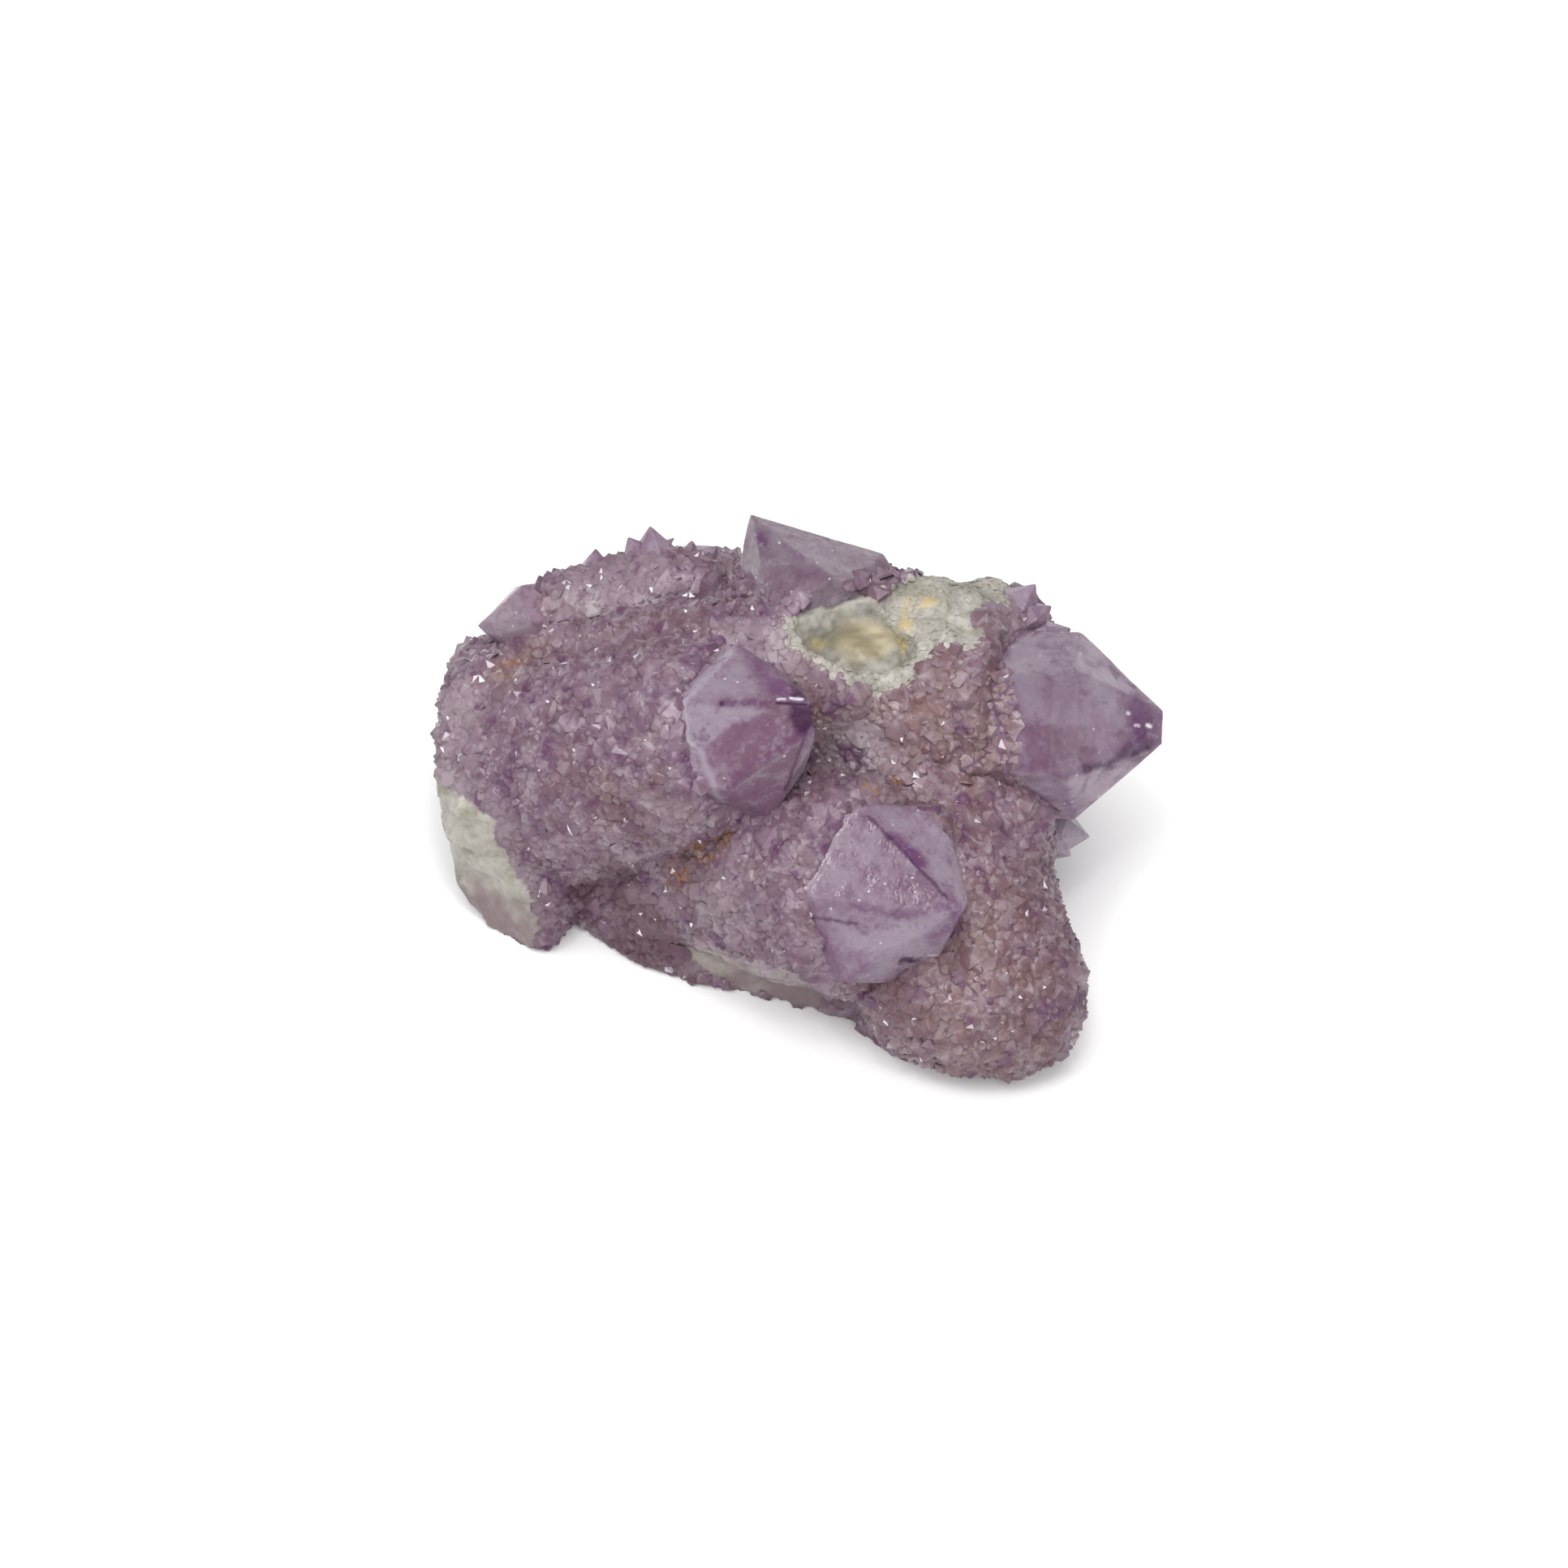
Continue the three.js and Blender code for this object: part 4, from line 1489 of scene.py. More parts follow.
    def sample(self, rng: np.random.Generator, count: int) -> tuple[np.ndarray, np.ndarray]:
        """Random places spread evenly over the bed.

        Args:
            rng: The source of random numbers.
            count: How many places.

        Returns:
            The places and the outward directions there.
        """
        mesh = self.object.data
        mesh.calc_loop_triangles()
        trios = np.empty(len(mesh.loop_triangles) * 3, np.int32)
        mesh.loop_triangles.foreach_get("vertices", trios)
        return scattered(self.points, trios.reshape(-1, 3), rng, count, read(mesh, "normal"))

    def dress(self, finish: CrustFinish, blushes: BlushMap) -> None:
        """Marks the bare and coloured places, and gives the bed its finish.

        Args:
            finish: The crust's finish, whose material is already built.
            blushes: The coloured places.
        """
        mesh = self.object.data
        mark(mesh, "bare", bare(self.points).astype(float))
        mark(mesh, "facet", np.full(len(self.points), self.facet))
        mark_break(mesh, self.points)
        mark(mesh, "tone", 0.5 + waves(self.points, self.tone))
        aim(mesh, "out", read(mesh, "normal"))
        blushes.mark(mesh, self.points)
        mesh.shade_smooth()
        dress(self.object, bpy.data.materials[finish.name])


def read(mesh: bpy.types.Mesh, what: str) -> np.ndarray:
    """Reads something of each of a mesh's points.

    Args:
        mesh: The mesh.
        what: The name of it, such as co or normal.

    Returns:
        The numbers, with one row for each point.
    """
    rows = np.empty((len(mesh.vertices), 3))
    mesh.vertices.foreach_get(what, rows.ravel())
    return rows


def mark(mesh: bpy.types.Mesh, name: str, values: np.ndarray, where: str = "POINT") -> None:
    """Gives a mesh a number at each of its points, or at each FACE."""
    mesh.attributes.new(name, "FLOAT", where).data.foreach_set("value", values.astype(np.float32))


def aim(mesh: bpy.types.Mesh, name: str, ways: np.ndarray) -> None:
    """Gives a mesh a direction at each of its points."""
    made = mesh.attributes.new(name, "FLOAT_VECTOR", "POINT")
    made.data.foreach_set("vector", ways.astype(np.float32).ravel())


def faded(away: np.ndarray, fade: Pair) -> np.ndarray:
    """The share of a colour at each distance from its middle, in sizes."""
    return np.clip(fade[0] - fade[1] * away, 0, 1)


def mark_break(mesh: bpy.types.Mesh, points: np.ndarray) -> None:
    """Marks how sunk, ochre and mauve the broken places of a mesh are.

    Args:
        mesh: The mesh.
        points: Its points, in mm.
    """
    seen = LAYOUT.seen(points)[:, :2]
    inside = points[:, :2] - POCKET_CENTRE
    high, long, wide = POCKET_LEVELS[1]
    within = np.hypot(inside[:, 0] / (long + 1), inside[:, 1] / (wide + 1)) < 1
    floor = np.linalg.norm((seen - POCKET_FLOOR) / POCKET_FLOOR_SIZE, axis=1) + waves(points, (1.6, 0.25))
    mark(mesh, "sunk", np.where(within & (points[:, 2] < high), faded(floor, SUNK_FADE), 0))
    away = [np.linalg.norm((seen - spot) / size, axis=1) for spot, size in OCHRE_SPOTS]
    mark(mesh, "ochre", faded(np.min(away, axis=0), OCHRE_FADE) * OCHRE_SHARE)
    low = np.clip((FLUSH_TOP[0] - points[:, 2]) / FLUSH_TOP[1] + waves(points, (3.0, 0.5), (1.2, 0.4)), 0, 1)
    grown = (seen[:, 0] - VEIL_RISE[0]) / VEIL_RISE[1]
    veiled = np.clip(VEIL[0] + waves(points, (3.0, 0.9)) + grown, 0, VEIL[1])
    at_left, in_front = points[:, 0] < FLUSH_LEFT, seen[:, 1] < FLUSH_FRONT
    mark(mesh, "flush", np.where(at_left, low, np.where(in_front, veiled, 0)))


@dataclass(frozen=True)
class ClearPoint:
    """One clear six-sided point that stands out of the crust. Sizes in mm."""

    host: Host
    finish: PointFinish
    clear: tuple[Pair, ...]
    patches: tuple[Patch, ...]
    wear: int = 5
    length: float = 24.0
    grain: float = 0.22
    swell: float = 0.1
    hills: tuple[Pair, ...] = ((4.5, 1), (1.4, 0.35))
    stray: tuple[Pair, ...] = ((1.3, 1), (0.5, 0.6))
    pocket_gap: float = 1.0
    crust_off: float = 3.0
    line_fade: float = 0.2
    in_pocket: bool = False

    @property
    def name(self) -> str:
        """The point's name."""
        return self.host.value + "_point"

    def build(self, effects: Effects) -> None:
        """Builds and dresses the point.

        Args:
            effects: The shared shader groups.
        """
        point = replace(self.finish.point, length=self.length)
        made = shown(self.name, mesh_of(self.name, *hull(point.corners())))
        cutter = Bed.pocket(self.pocket_gap) if self.in_pocket else None
        if cutter:
            take_away(made, cutter)
        grow_skin(made, self.grain)
        worn = made.modifiers.new("Worn edges", "SMOOTH")
        worn.factor, worn.iterations = 0.5, self.wear
        settle(made)
        if cutter:
            bpy.data.objects.remove(cutter)
        self.weather(made.data)
        self.paint(made.data)
        aim(made.data, "out", np.tile(point.axes.along, (len(made.data.vertices), 1)))
        made.data.shade_smooth()
        dress(made, self.finish.material(effects))

    def weather(self, mesh: bpy.types.Mesh) -> None:
        """Gives the faces the gentle hills and hollows of real growth.

        Args:
            mesh: The point's mesh.
        """
        points, normals = read(mesh, "co") / MM, read(mesh, "normal")
        rise = self.swell * waves(points, *self.hills)
        mesh.vertices.foreach_set("co", ((points + normals * rise[:, None]) * MM).ravel())
        mesh.update()

    def paint(self, mesh: bpy.types.Mesh) -> None:
        """Gives the mesh its share of each kind of zone, with lines only where it faces the camera.

        Args:
            mesh: The point's mesh.
        """
        points = read(mesh, "co") / MM
        spots = LAYOUT.seen(points)[:, :2]
        facing = np.clip(read(mesh, "normal") @ TOWARD / self.line_fade, 0, 1)
        swing = straying(points, (0, 70), *self.stray)
        for zone in Zone:
            shares = [
                patch.at(spots, swing) * (facing if patch.width else 1)
                for patch in self.patches
                if patch.zone is zone
            ]
            mark(mesh, zone.value, np.max([np.zeros(len(points)), *shares], axis=0))

    def overgrown(self, rng: np.random.Generator, count: int) -> tuple[np.ndarray, np.ndarray]:
        """Random places on the point that the crust has grown over.

        Args:
            rng: The source of random numbers.
            count: How many places to try.

        Returns:
            The places that are overgrown, and the outward directions there.
        """
        point = self.finish.point
        corners, faces = hull(replace(point, length=self.length).corners())
        places, normals = scattered(corners, fans(faces), rng, count)
        behind = (LAYOUT.place(point.tip) - places) @ point.axes.along
        spots = LAYOUT.seen(places)[:, :2] + straying(places, (0, 30), (1.5, 0.5))
        faces_us = normals @ TOWARD > 0
        far = distance_to(spots, self.clear, closed=True) > self.crust_off
        within = inside_outline(spots, self.clear)
        out = np.where(faces_us, ~within, (behind > CANDLES[self.host].rings[0][0] - 1) & (far | ~within))
        grown = out & (behind > self.crust_off) & (behind < self.length - 1) & ~bare(places, BARE_MARGIN)
        return places[grown], normals[grown]


CLEAR_POINTS: tuple[ClearPoint, ...] = (
    ClearPoint(
        Host.LEFT,
        PointFinish("left point quartz", CANDLES[Host.LEFT].point),
        ((-6.6, 17.2), (-12, 11.8), (-14, 8.6), (-12.8, 5), (-11.8, 3.2), (-10.7, 0.9), (-10, -1.6),
            (-9.4, -4.6), (-7.3, -5.8), (-4.6, -4.6), (0.9, -3.4), (4.6, 5.6), (4.9, 10.6), (2.4, 13.6),
            (-2.6, 17.2)),
        (
            Patch(Zone.MILK, ((-6.4, 16.4), (-11.8, 10.6), (-12.8, 8.3), (-11.8, 5.5), (-9.8, 3.4),
                (-9.2, 1.6), (-7.6, -2.5)), 1.0, 0.4, 0.5),
            Patch(Zone.MILK, ((-12.3, 10.6), (-11.1, 10.2), (-10.9, 6.6), (-10, 4.2), (-11.4, 5.4),
                (-12.5, 7.1)), 0.7, 0.5),
            Patch(Zone.MILK, ((-9.7, 2.6), (-8.6, 1.9), (-7.3, -1.9), (-7.7, -2.9), (-9.2, 0.4)), 0.6, 0.5),
            Patch(Zone.MILK, ((-6.3, 16.4), (-4.7, 16.1), (-1.9, 10.5), (-11.9, 10.5)), 0.3, 0.8),
            Patch(Zone.MILK, ((-11.7, 9.7), (-4.4, 9.4), (-1.9, 8.6), (-4.4, 7.9), (-6.3, 7.2), (-7.4, 6.4),
                (-9.7, 4.2), (-10.8, 4.7), (-11.3, 7.5)), 0.6, 0.3),
            Patch(Zone.MILK, ((2.6, 5.5), (-6.3, -0.8)), 0.8, 0.2, 0.12, 0.1),
            Patch(Zone.MILK, ((3, 5.8), (3.8, 7.6), (3.4, 3.6), (0.9, -1.9), (0.7, -0.8)), 0.3, 0.3),
            Patch(Zone.WARM, ((-9.7, 4.2), (-6.3, 7.2), (-1.9, 8.6), (-0.6, 10), (1.4, 8.6), (2.6, 5.5),
                (-6.3, -0.8), (-7.7, -1.9), (-8.8, 1.6)), 0.7, 0.5),
            Patch(Zone.WARM, ((-6.3, -0.8), (2.6, 5.5), (0.6, -0.6), (-1.1, -3.9), (-5.1, -3.9),
                (-7.3, -1.9)), 0.6, 0.3),
            Patch(Zone.BROWN, ((-2.3, 10.4), (-0.8, 10.3), (-0.9, 8.9), (-2.2, 9.3)), 0.6, 0.2),
            Patch(Zone.PURPLE, ((-4.7, 16.3), (1.2, 12.4), (3, 11.6), (2.8, 10.4), (-1.9, 10.5),
                (-2.7, 12.5), (-4, 14)), 0.5, 0.7),
            Patch(Zone.PURPLE, ((-8.1, 10.3), (-2.1, 10.2), (-2.1, 9.5), (-7.9, 9.7)), 0.6, 0.15),
            Patch(Zone.PURPLE, ((-6.1, 0), (1.2, 5.2), (1.9, 6.1), (0.2, 6.1), (-3.6, 3), (-6.3, 1.1)),
                0.35, 0.4),
            Patch(Zone.DARK, ((0.6, 12.4), (3, 11.6), (2.8, 10.5), (0.9, 10.6)), 0.75, 0.4),
            Patch(Zone.DARK, ((0.9, 10), (3.9, 9.4), (4.2, 7.6), (2.8, 5.6), (1.4, 6.3), (0.6, 8.1)), 0.85,
                0.5),
            Patch(Zone.DARK, ((-0.9, 9.9), (2.6, 9.7)), 0.95, 0.12, 0.2, 0.1),
            Patch(Zone.DARK, ((-7.7, 9.9), (-7.6, 9.8)), 0.8, 0.15, 0.25, 0.1),
            Patch(Zone.DARK, ((2.5, 5.6), (0.1, -0.8)), 0.8, 0.15, 0.12, 0.1),
            # painted glints along the ridge near the tip
            Patch(Zone.FLASH, ((-0.8, 10.4), (0.1, 10.4)), 0.9, 0.1, 0.1, 0.1),
            Patch(Zone.FLASH, ((0.8, 10.5), (2.3, 10.4)), 1.0, 0.1, 0.12, 0.1),
        ),
    ),
    ClearPoint(
        Host.FRONT,
        PointFinish("front point quartz", CANDLES[Host.FRONT].point, tip_none=3.5, tip_share=0.2),
        ((10.4, -1.8), (16.4, -2.4), (20.9, -6.4), (23.6, -14.4), (22.6, -19.9), (18.9, -25.4),
            (13.4, -26.2), (7.4, -24.9), (2.9, -22.9), (-0.1, -18.4), (0.9, -13.9), (3.4, -9.4), (6.9, -3.4)),
        (
            Patch(Zone.MILK, ((10.9, -3.4), (16.4, -4.4), (19.9, -7.4), (21.9, -14.4), (19.9, -13.6),
                (15.4, -8.9)), 0.25, 0.8),
            Patch(Zone.MILK, ((16.4, -3.9), (20.5, -7.5), (22.4, -11.9), (23.3, -16), (22.2, -18.8),
                (19.9, -22.5)), 0.6, 0.35, 0.35, 0.8),
            Patch(Zone.MILK, ((9.9, -18.1), (15.4, -16.6), (19.3, -15.6), (20.9, -16.9), (18.4, -18.6),
                (14.9, -19.4)), 0.5, 0.6),
            Patch(Zone.MILK, ((3.4, -9.4), (9.4, -6.4), (12.4, -9.4), (8.4, -13.4), (2.4, -14.4)), 0.25, 1.2),
            Patch(Zone.WARM, ((8.9, -9.4), (14.4, -10.9), (16.4, -14.4), (10.4, -14.6)), 0.25, 1.2),
            Patch(Zone.MILK, ((7, -17.4), (18, -18.4), (18.6, -22), (12, -24.4), (6, -21)), 0.4, 1.4),
            Patch(Zone.PURPLE, ((12.2, -5.6), (13.8, -6.4), (16.4, -8), (17.6, -9.6), (16.8, -10.3),
                (14.6, -8.4), (13.2, -7)), 0.8, 0.4),
            Patch(Zone.PURPLE, ((19.9, -13.4), (21.4, -14.6), (22.1, -16.4), (21.2, -17.9), (19.4, -18.6),
                (17.7, -19.6), (17.4, -18.6), (20.2, -16.4)), 0.7, 0.6),
            Patch(Zone.PURPLE, ((8.9, -15.2), (11.9, -15.8), (13.6, -16.1), (16.1, -15.6), (20.5, -14.8)),
                0.7, 0.4, 0.3, 0.8),
            Patch(Zone.PURPLE, ((3.9, -17.9), (5.4, -18.4), (5.6, -20.4), (4.4, -20.6)), 0.7, 0.3),
            Patch(Zone.PURPLE, ((3.4, -18.4), (9.4, -19.4), (11.4, -23.4), (7.4, -24.4)), 0.3, 1.0),
            Patch(Zone.PURPLE, ((9.4, -24.6), (11.2, -25.4), (10.6, -27)), 0.7, 0.4),
            Patch(Zone.DARK, ((10.4, -4.1), (13.4, -7), (16.4, -10.2), (19.9, -13.9)), 0.9, 0.2, 0.16, 0.15),
            Patch(Zone.DARK, ((2, -16.2), (4.4, -16.5), (9, -17.1)), 0.85, 0.2, 0.14, 0.3),
            Patch(Zone.DARK, ((14, -22.1), (14.6, -21.1), (16.9, -21.5)), 1.0, 0.2),
            Patch(Zone.DARK, ((13.2, -16.2), (14.6, -14.6)), 0.6, 0.12, 0.06, 0.3),
            # painted glint
            Patch(Zone.FLASH, ((17.7, -21), (19.8, -21.1)), 0.6, 0.1, 0.06, 0.1),
        ),
    ),
    ClearPoint(
        Host.RIGHT,
        PointFinish(
            "right point quartz", CANDLES[Host.RIGHT].point, body=tint(140, 112, 136),
            cloudy=tint(128, 98, 124),
            tip_none=9.0, tip_share=0.34,
        ),
        ((25.4, 19.6), (26.6, 15.4), (28, 12.6), (28.8, 9.6), (29.2, 5.4), (28.4, 1.6), (31, -2.6),
            (33.8, -5), (37.4, -4.6), (48.4, 3.6), (47.4, 10.6), (38.4, 19.6)),
        (
            Patch(Zone.MILK, ((27.4, 18.6), (37.1, 18.1), (37.9, 7.3), (29.6, 7.5)), 0.3, 0.25),
            Patch(Zone.MILK, ((27.4, 14.1), (29.6, 16.6), (32.6, 14.6), (33, 8.1), (29.9, 7.8)), 0.5, 0.8),
            Patch(Zone.MILK, ((37.4, 14), (39.2, 13.4), (42.2, 9.6), (41.2, 7.2), (38.4, 9.6)), 0.6, 0.8),
            Patch(Zone.MILK, ((34.8, 1.1), (38.4, 1.6), (38.6, -0.9), (35.4, -1.9)), 0.3, 0.6),
            Patch(Zone.PURPLE, ((30.5, -0.5), (36, -0.5), (37.6, -3.9), (32, -4.9)), 0.45, 1.2),
            Patch(Zone.PURPLE, ((36.6, 1.4), (41.4, 2.6), (46, 3.4)), 0.8, 0.5, 0.5, 0.5),
            Patch(Zone.WARM, ((31, 14), (36, 12), (37, 9), (32, 9.6)), 0.35, 1.4),
            Patch(Zone.MILK, ((46.5, 4.1), (40.9, -0.6), (36.8, -3.7)), 0.5, 0.3, 0.3, 0.3),
            Patch(Zone.WARM, ((29.6, 7.2), (37.6, 7), (38.4, 2.6), (30.4, 1.6)), 0.55, 0.3),
            Patch(Zone.PURPLE, ((38.9, 18.1), (41.6, 16.8), (45.4, 12), (44.6, 10.2), (42.2, 12.4),
                (40.2, 14.4)), 0.8, 0.6),
            Patch(Zone.PURPLE, ((41.9, 10.1), (43.9, 11.8), (46.7, 7.8), (46.8, 5.8), (46, 3.6),
                (43.4, 2.8), (40.8, 3.6), (42.6, 6.6)), 0.9, 0.9),
            Patch(Zone.PURPLE, ((31.5, 0.4), (33.7, 1.1), (35.9, 1.3)), 0.5, 0.4, 0.3, 0.5),
            Patch(Zone.DARK, ((36.8, 2), (39.6, 2.2), (42.1, 3.5), (45.3, 4.5)), 0.85, 0.35, 0.35, 0.5),
            Patch(Zone.DARK, ((41.4, 3.6), (43.4, 4.8), (46, 5.1), (45.4, 3.6), (42.9, 2.6)), 0.5, 0.4),
            # painted glints near the tip
            Patch(Zone.FLASH, ((42.6, 8.8), (42.8, 8.7)), 0.9, 0.1, 0.15, 0.1),
            Patch(Zone.FLASH, ((43.6, 7.3), (44, 7.2)), 0.9, 0.1, 0.12, 0.1),
            Patch(Zone.FLASH, ((45.1, 7.3), (45.5, 7.1)), 1.0, 0.1, 0.2, 0.1),
        ),
        wear=9,
        length=27.0,
        grain=0.25,
    ),
    ClearPoint(
        Host.BACK,
        PointFinish(
            "back point quartz", CANDLES[Host.BACK].point, body=tint(120, 102, 115),
            cloudy=tint(110, 90, 104),
            tip_none=4.0, tip_share=0.15,
        ),
        ((-5.8, 35.2), (14, 30.6), (14.6, 27), (10.8, 26.2), (7.4, 24.6), (4.4, 23.1), (-1.6, 23.6),
            (-3.4, 25), (-6.2, 27)),
        (
            Patch(Zone.MILK, ((-4.1, 32.5), (12.5, 28.2)), 0.35, 0.3, 0.25),
            Patch(Zone.MILK, ((-2.6, 31.8), (11.9, 27.9), (9.4, 26.6), (-0.6, 27.6)), 0.3, 1.0),
            Patch(Zone.PURPLE, ((-3.7, 30.8), (-2.8, 31.2), (-1.8, 29.8), (-2.8, 29.2)), 0.7, 0.3),
            Patch(Zone.PURPLE, ((0, 29.4), (2.2, 27.8)), 0.4, 0.35, 0.3, 0.5),
            Patch(Zone.PURPLE, ((1.9, 25.4), (4.4, 26.4)), 0.35, 0.35, 0.3, 0.5),
            Patch(Zone.WARM, ((-3.6, 26.6), (3.4, 27.6), (6.4, 24.6), (4.4, 22.6), (-2.1, 23.1)), 0.25, 0.8),
        ),
        length=19.0,
        in_pocket=True,
    ),
    ClearPoint(
        Host.RIDGE,
        PointFinish(
            "small left point quartz", CANDLES[Host.RIDGE].point, body=tint(152, 127, 144),
            cloudy=tint(143, 117, 132),
            tip_none=3.0, tip_share=0.15,
        ),
        ((-39.6, 20.4), (-33.4, 26), (-29.8, 25), (-29.6, 15), (-36.4, 14.8), (-39, 17)),
        (
            Patch(Zone.MILK, ((-37.9, 19.3), (-35.8, 16.3), (-31.1, 15.5)), 0.5, 0.25, 0.2),
            Patch(Zone.MILK, ((-36.6, 20.6), (-32.6, 23.1), (-31.1, 18.6), (-34.6, 17.6)), 0.35, 1.2),
            Patch(Zone.PURPLE, ((-37.6, 19), (-36.8, 16.6), (-34.6, 15.6), (-35, 18)), 0.35, 1.0),
        ),
        length=12.0,
    ),
)  # fmt: skip


@dataclass(frozen=True)
class Grade:
    """One size of the crust's crystals, in mm; prism is the side's height above the bed, in radii."""

    spacing: float
    radius: Pair
    prism: Pair
    tries: int


class Grades(Enum):
    """The sizes of crystal that make up the crust, the largest first."""

    LARGE = Grade(3.2, (1.5, 2.2), (-0.5, -0.2), 3000)
    COARSE = Grade(1.8, (1.05, 1.6), (-0.5, -0.1), 18000)
    MIDDLE = Grade(1.2, (0.8, 1.15), (-0.4, 0.05), 30000)
    FINE = Grade(0.85, (0.5, 0.8), (-0.3, 0.25), 60000)


class Spread:
    """Keeps places apart on a surface."""

    def __init__(self, cell: float) -> None:
        """Starts with no places, in cells of a size."""
        self.cell = cell
        self.cells: dict[tuple[int, int, int], list[np.ndarray]] = {}

    def key(self, place: np.ndarray) -> tuple[int, int, int]:
        """The cell that a place is in."""
        return tuple(int(v) for v in np.floor(place / self.cell))

    def take(self, place: np.ndarray, spacing: float) -> bool:
        """Keeps a place if nothing kept is nearer than a spacing.

        Args:
            place: The place.
            spacing: The spacing, which is no more than the size of a cell.

        Returns:
            Whether it was kept.
        """
        x, y, z = self.key(place)
        for i in (x - 1, x, x + 1):
            for j in (y - 1, y, y + 1):
                for k in (z - 1, z, z + 1):
                    for other in self.cells.get((i, j, k), ()):
                        d = other - place
                        if d @ d < spacing * spacing:
                            return False
        self.cells.setdefault((x, y, z), []).append(place)
        return True


@dataclass
class Crystals:
    """Many small six-sided crystals, built together as one mesh. Sizes are in shares of a radius."""

    places: np.ndarray
    ways: np.ndarray
    radii: np.ndarray
    prisms: np.ndarray
    rng: np.random.Generator
    root: float = 0.55
    girth: Pair = (0.86, 1.1)
    taper: float = 0.97
    unevenness: float = 0.14
    point: float = 0.78
    point_range: Pair = (0.82, 1.12)
    slide: float = 0.2
    lowest: float = 0.05
    purple_in: int = 16
    # painted glints: the share of point faces painted near white as if they caught a lamp, how white, and the
    # largest radius of crystal that gets them
    painted_glint_share: float = 0.013
    painted_glint_range: Pair = (0.3, 1.0)
    painted_glint_below: float = 1.25
    corners: int = 13
    sides: int = 13

    def mesh(self, name: str) -> bpy.types.Mesh:
        """Builds the mesh, marks each crystal's tone and purple, and each facet's painted sheen and glint.

        Args:
            name: The mesh's name.

        Returns:
            The mesh.
        """
        mesh = mesh_of(name, self.points().reshape(-1, 3), self.faces())
        count, rng = len(self.places), self.rng
        mark(mesh, "tone", np.repeat(rng.random(count), self.corners))
        purple = np.clip((rng.random(count) - 1) * self.purple_in + 1, 0, 1)
        mark(mesh, "purple", np.repeat(purple, self.corners))
        mark(mesh, "tip", np.tile([0.0] * 6 + [0.5] * 6 + [1.0], count))
        # painted glints on a few point faces of the smaller crystals
        shape = (count, self.sides)
        shares = (rng.random(shape) < self.painted_glint_share) * rng.uniform(*self.painted_glint_range, shape)
        shares[:, :6] = 0
        shares[self.radii > self.painted_glint_below] = 0
        mark(mesh, "flash", shares.ravel(), "FACE")
        # painted sheen and shade: a random value for each facet, read as paler or darker as if it caught or
        # missed the light
        mark(mesh, "facet", rng.random(count * self.sides), "FACE")
        return mesh

    def points(self) -> np.ndarray:
        """The root ring, shoulder ring and tip of every crystal.

        Returns:
            Their places in mm, for each crystal in turn.
        """
        count, rng = len(self.places), self.rng
        across = unit(np.cross(self.ways, rng.normal(size=(count, 3))))
        other = np.cross(self.ways, across)
        turns = np.arange(6) * np.pi / 3
        rings = across[:, None] * np.cos(turns)[None, :, None] + other[:, None] * np.sin(turns)[None, :, None]
        radii, ways = self.radii[:, None, None], self.ways[:, None]
        girth = rng.uniform(*self.girth, (count, 6, 1))
        low = rings * radii * girth - ways * radii * self.root
        rise = self.prisms[:, None] + rng.uniform(-self.unevenness, self.unevenness, (count, 6))
        high = rings * radii * girth * self.taper + ways * radii * rise[:, :, None]
        top = self.prisms + self.point * rng.uniform(*self.point_range, count)
        slide = across * rng.normal(0, self.slide, (count, 1)) + other * rng.normal(0, self.slide, (count, 1))
        tips = self.ways * (self.radii * top)[:, None] + slide * self.radii[:, None]
        points = np.concatenate([low, high, tips[:, None]], axis=1) + self.places[:, None]
        points[..., 2] = np.maximum(points[..., 2], self.lowest)
        return points

    def faces(self) -> list[list[int]]:
        """Six sides, six point faces and a hidden root for every crystal.

        Returns:
            The corners of each.
        """
        ring = [(k, (k + 1) % 6) for k in range(6)]
        one = [[a, b, b + 6, a + 6] for a, b in ring] + [[a + 6, b + 6, 12] for a, b in ring]
        one.append([5, 4, 3, 2, 1, 0])
        return [[k + n * self.corners for k in face] for n in range(len(self.places)) for face in one]


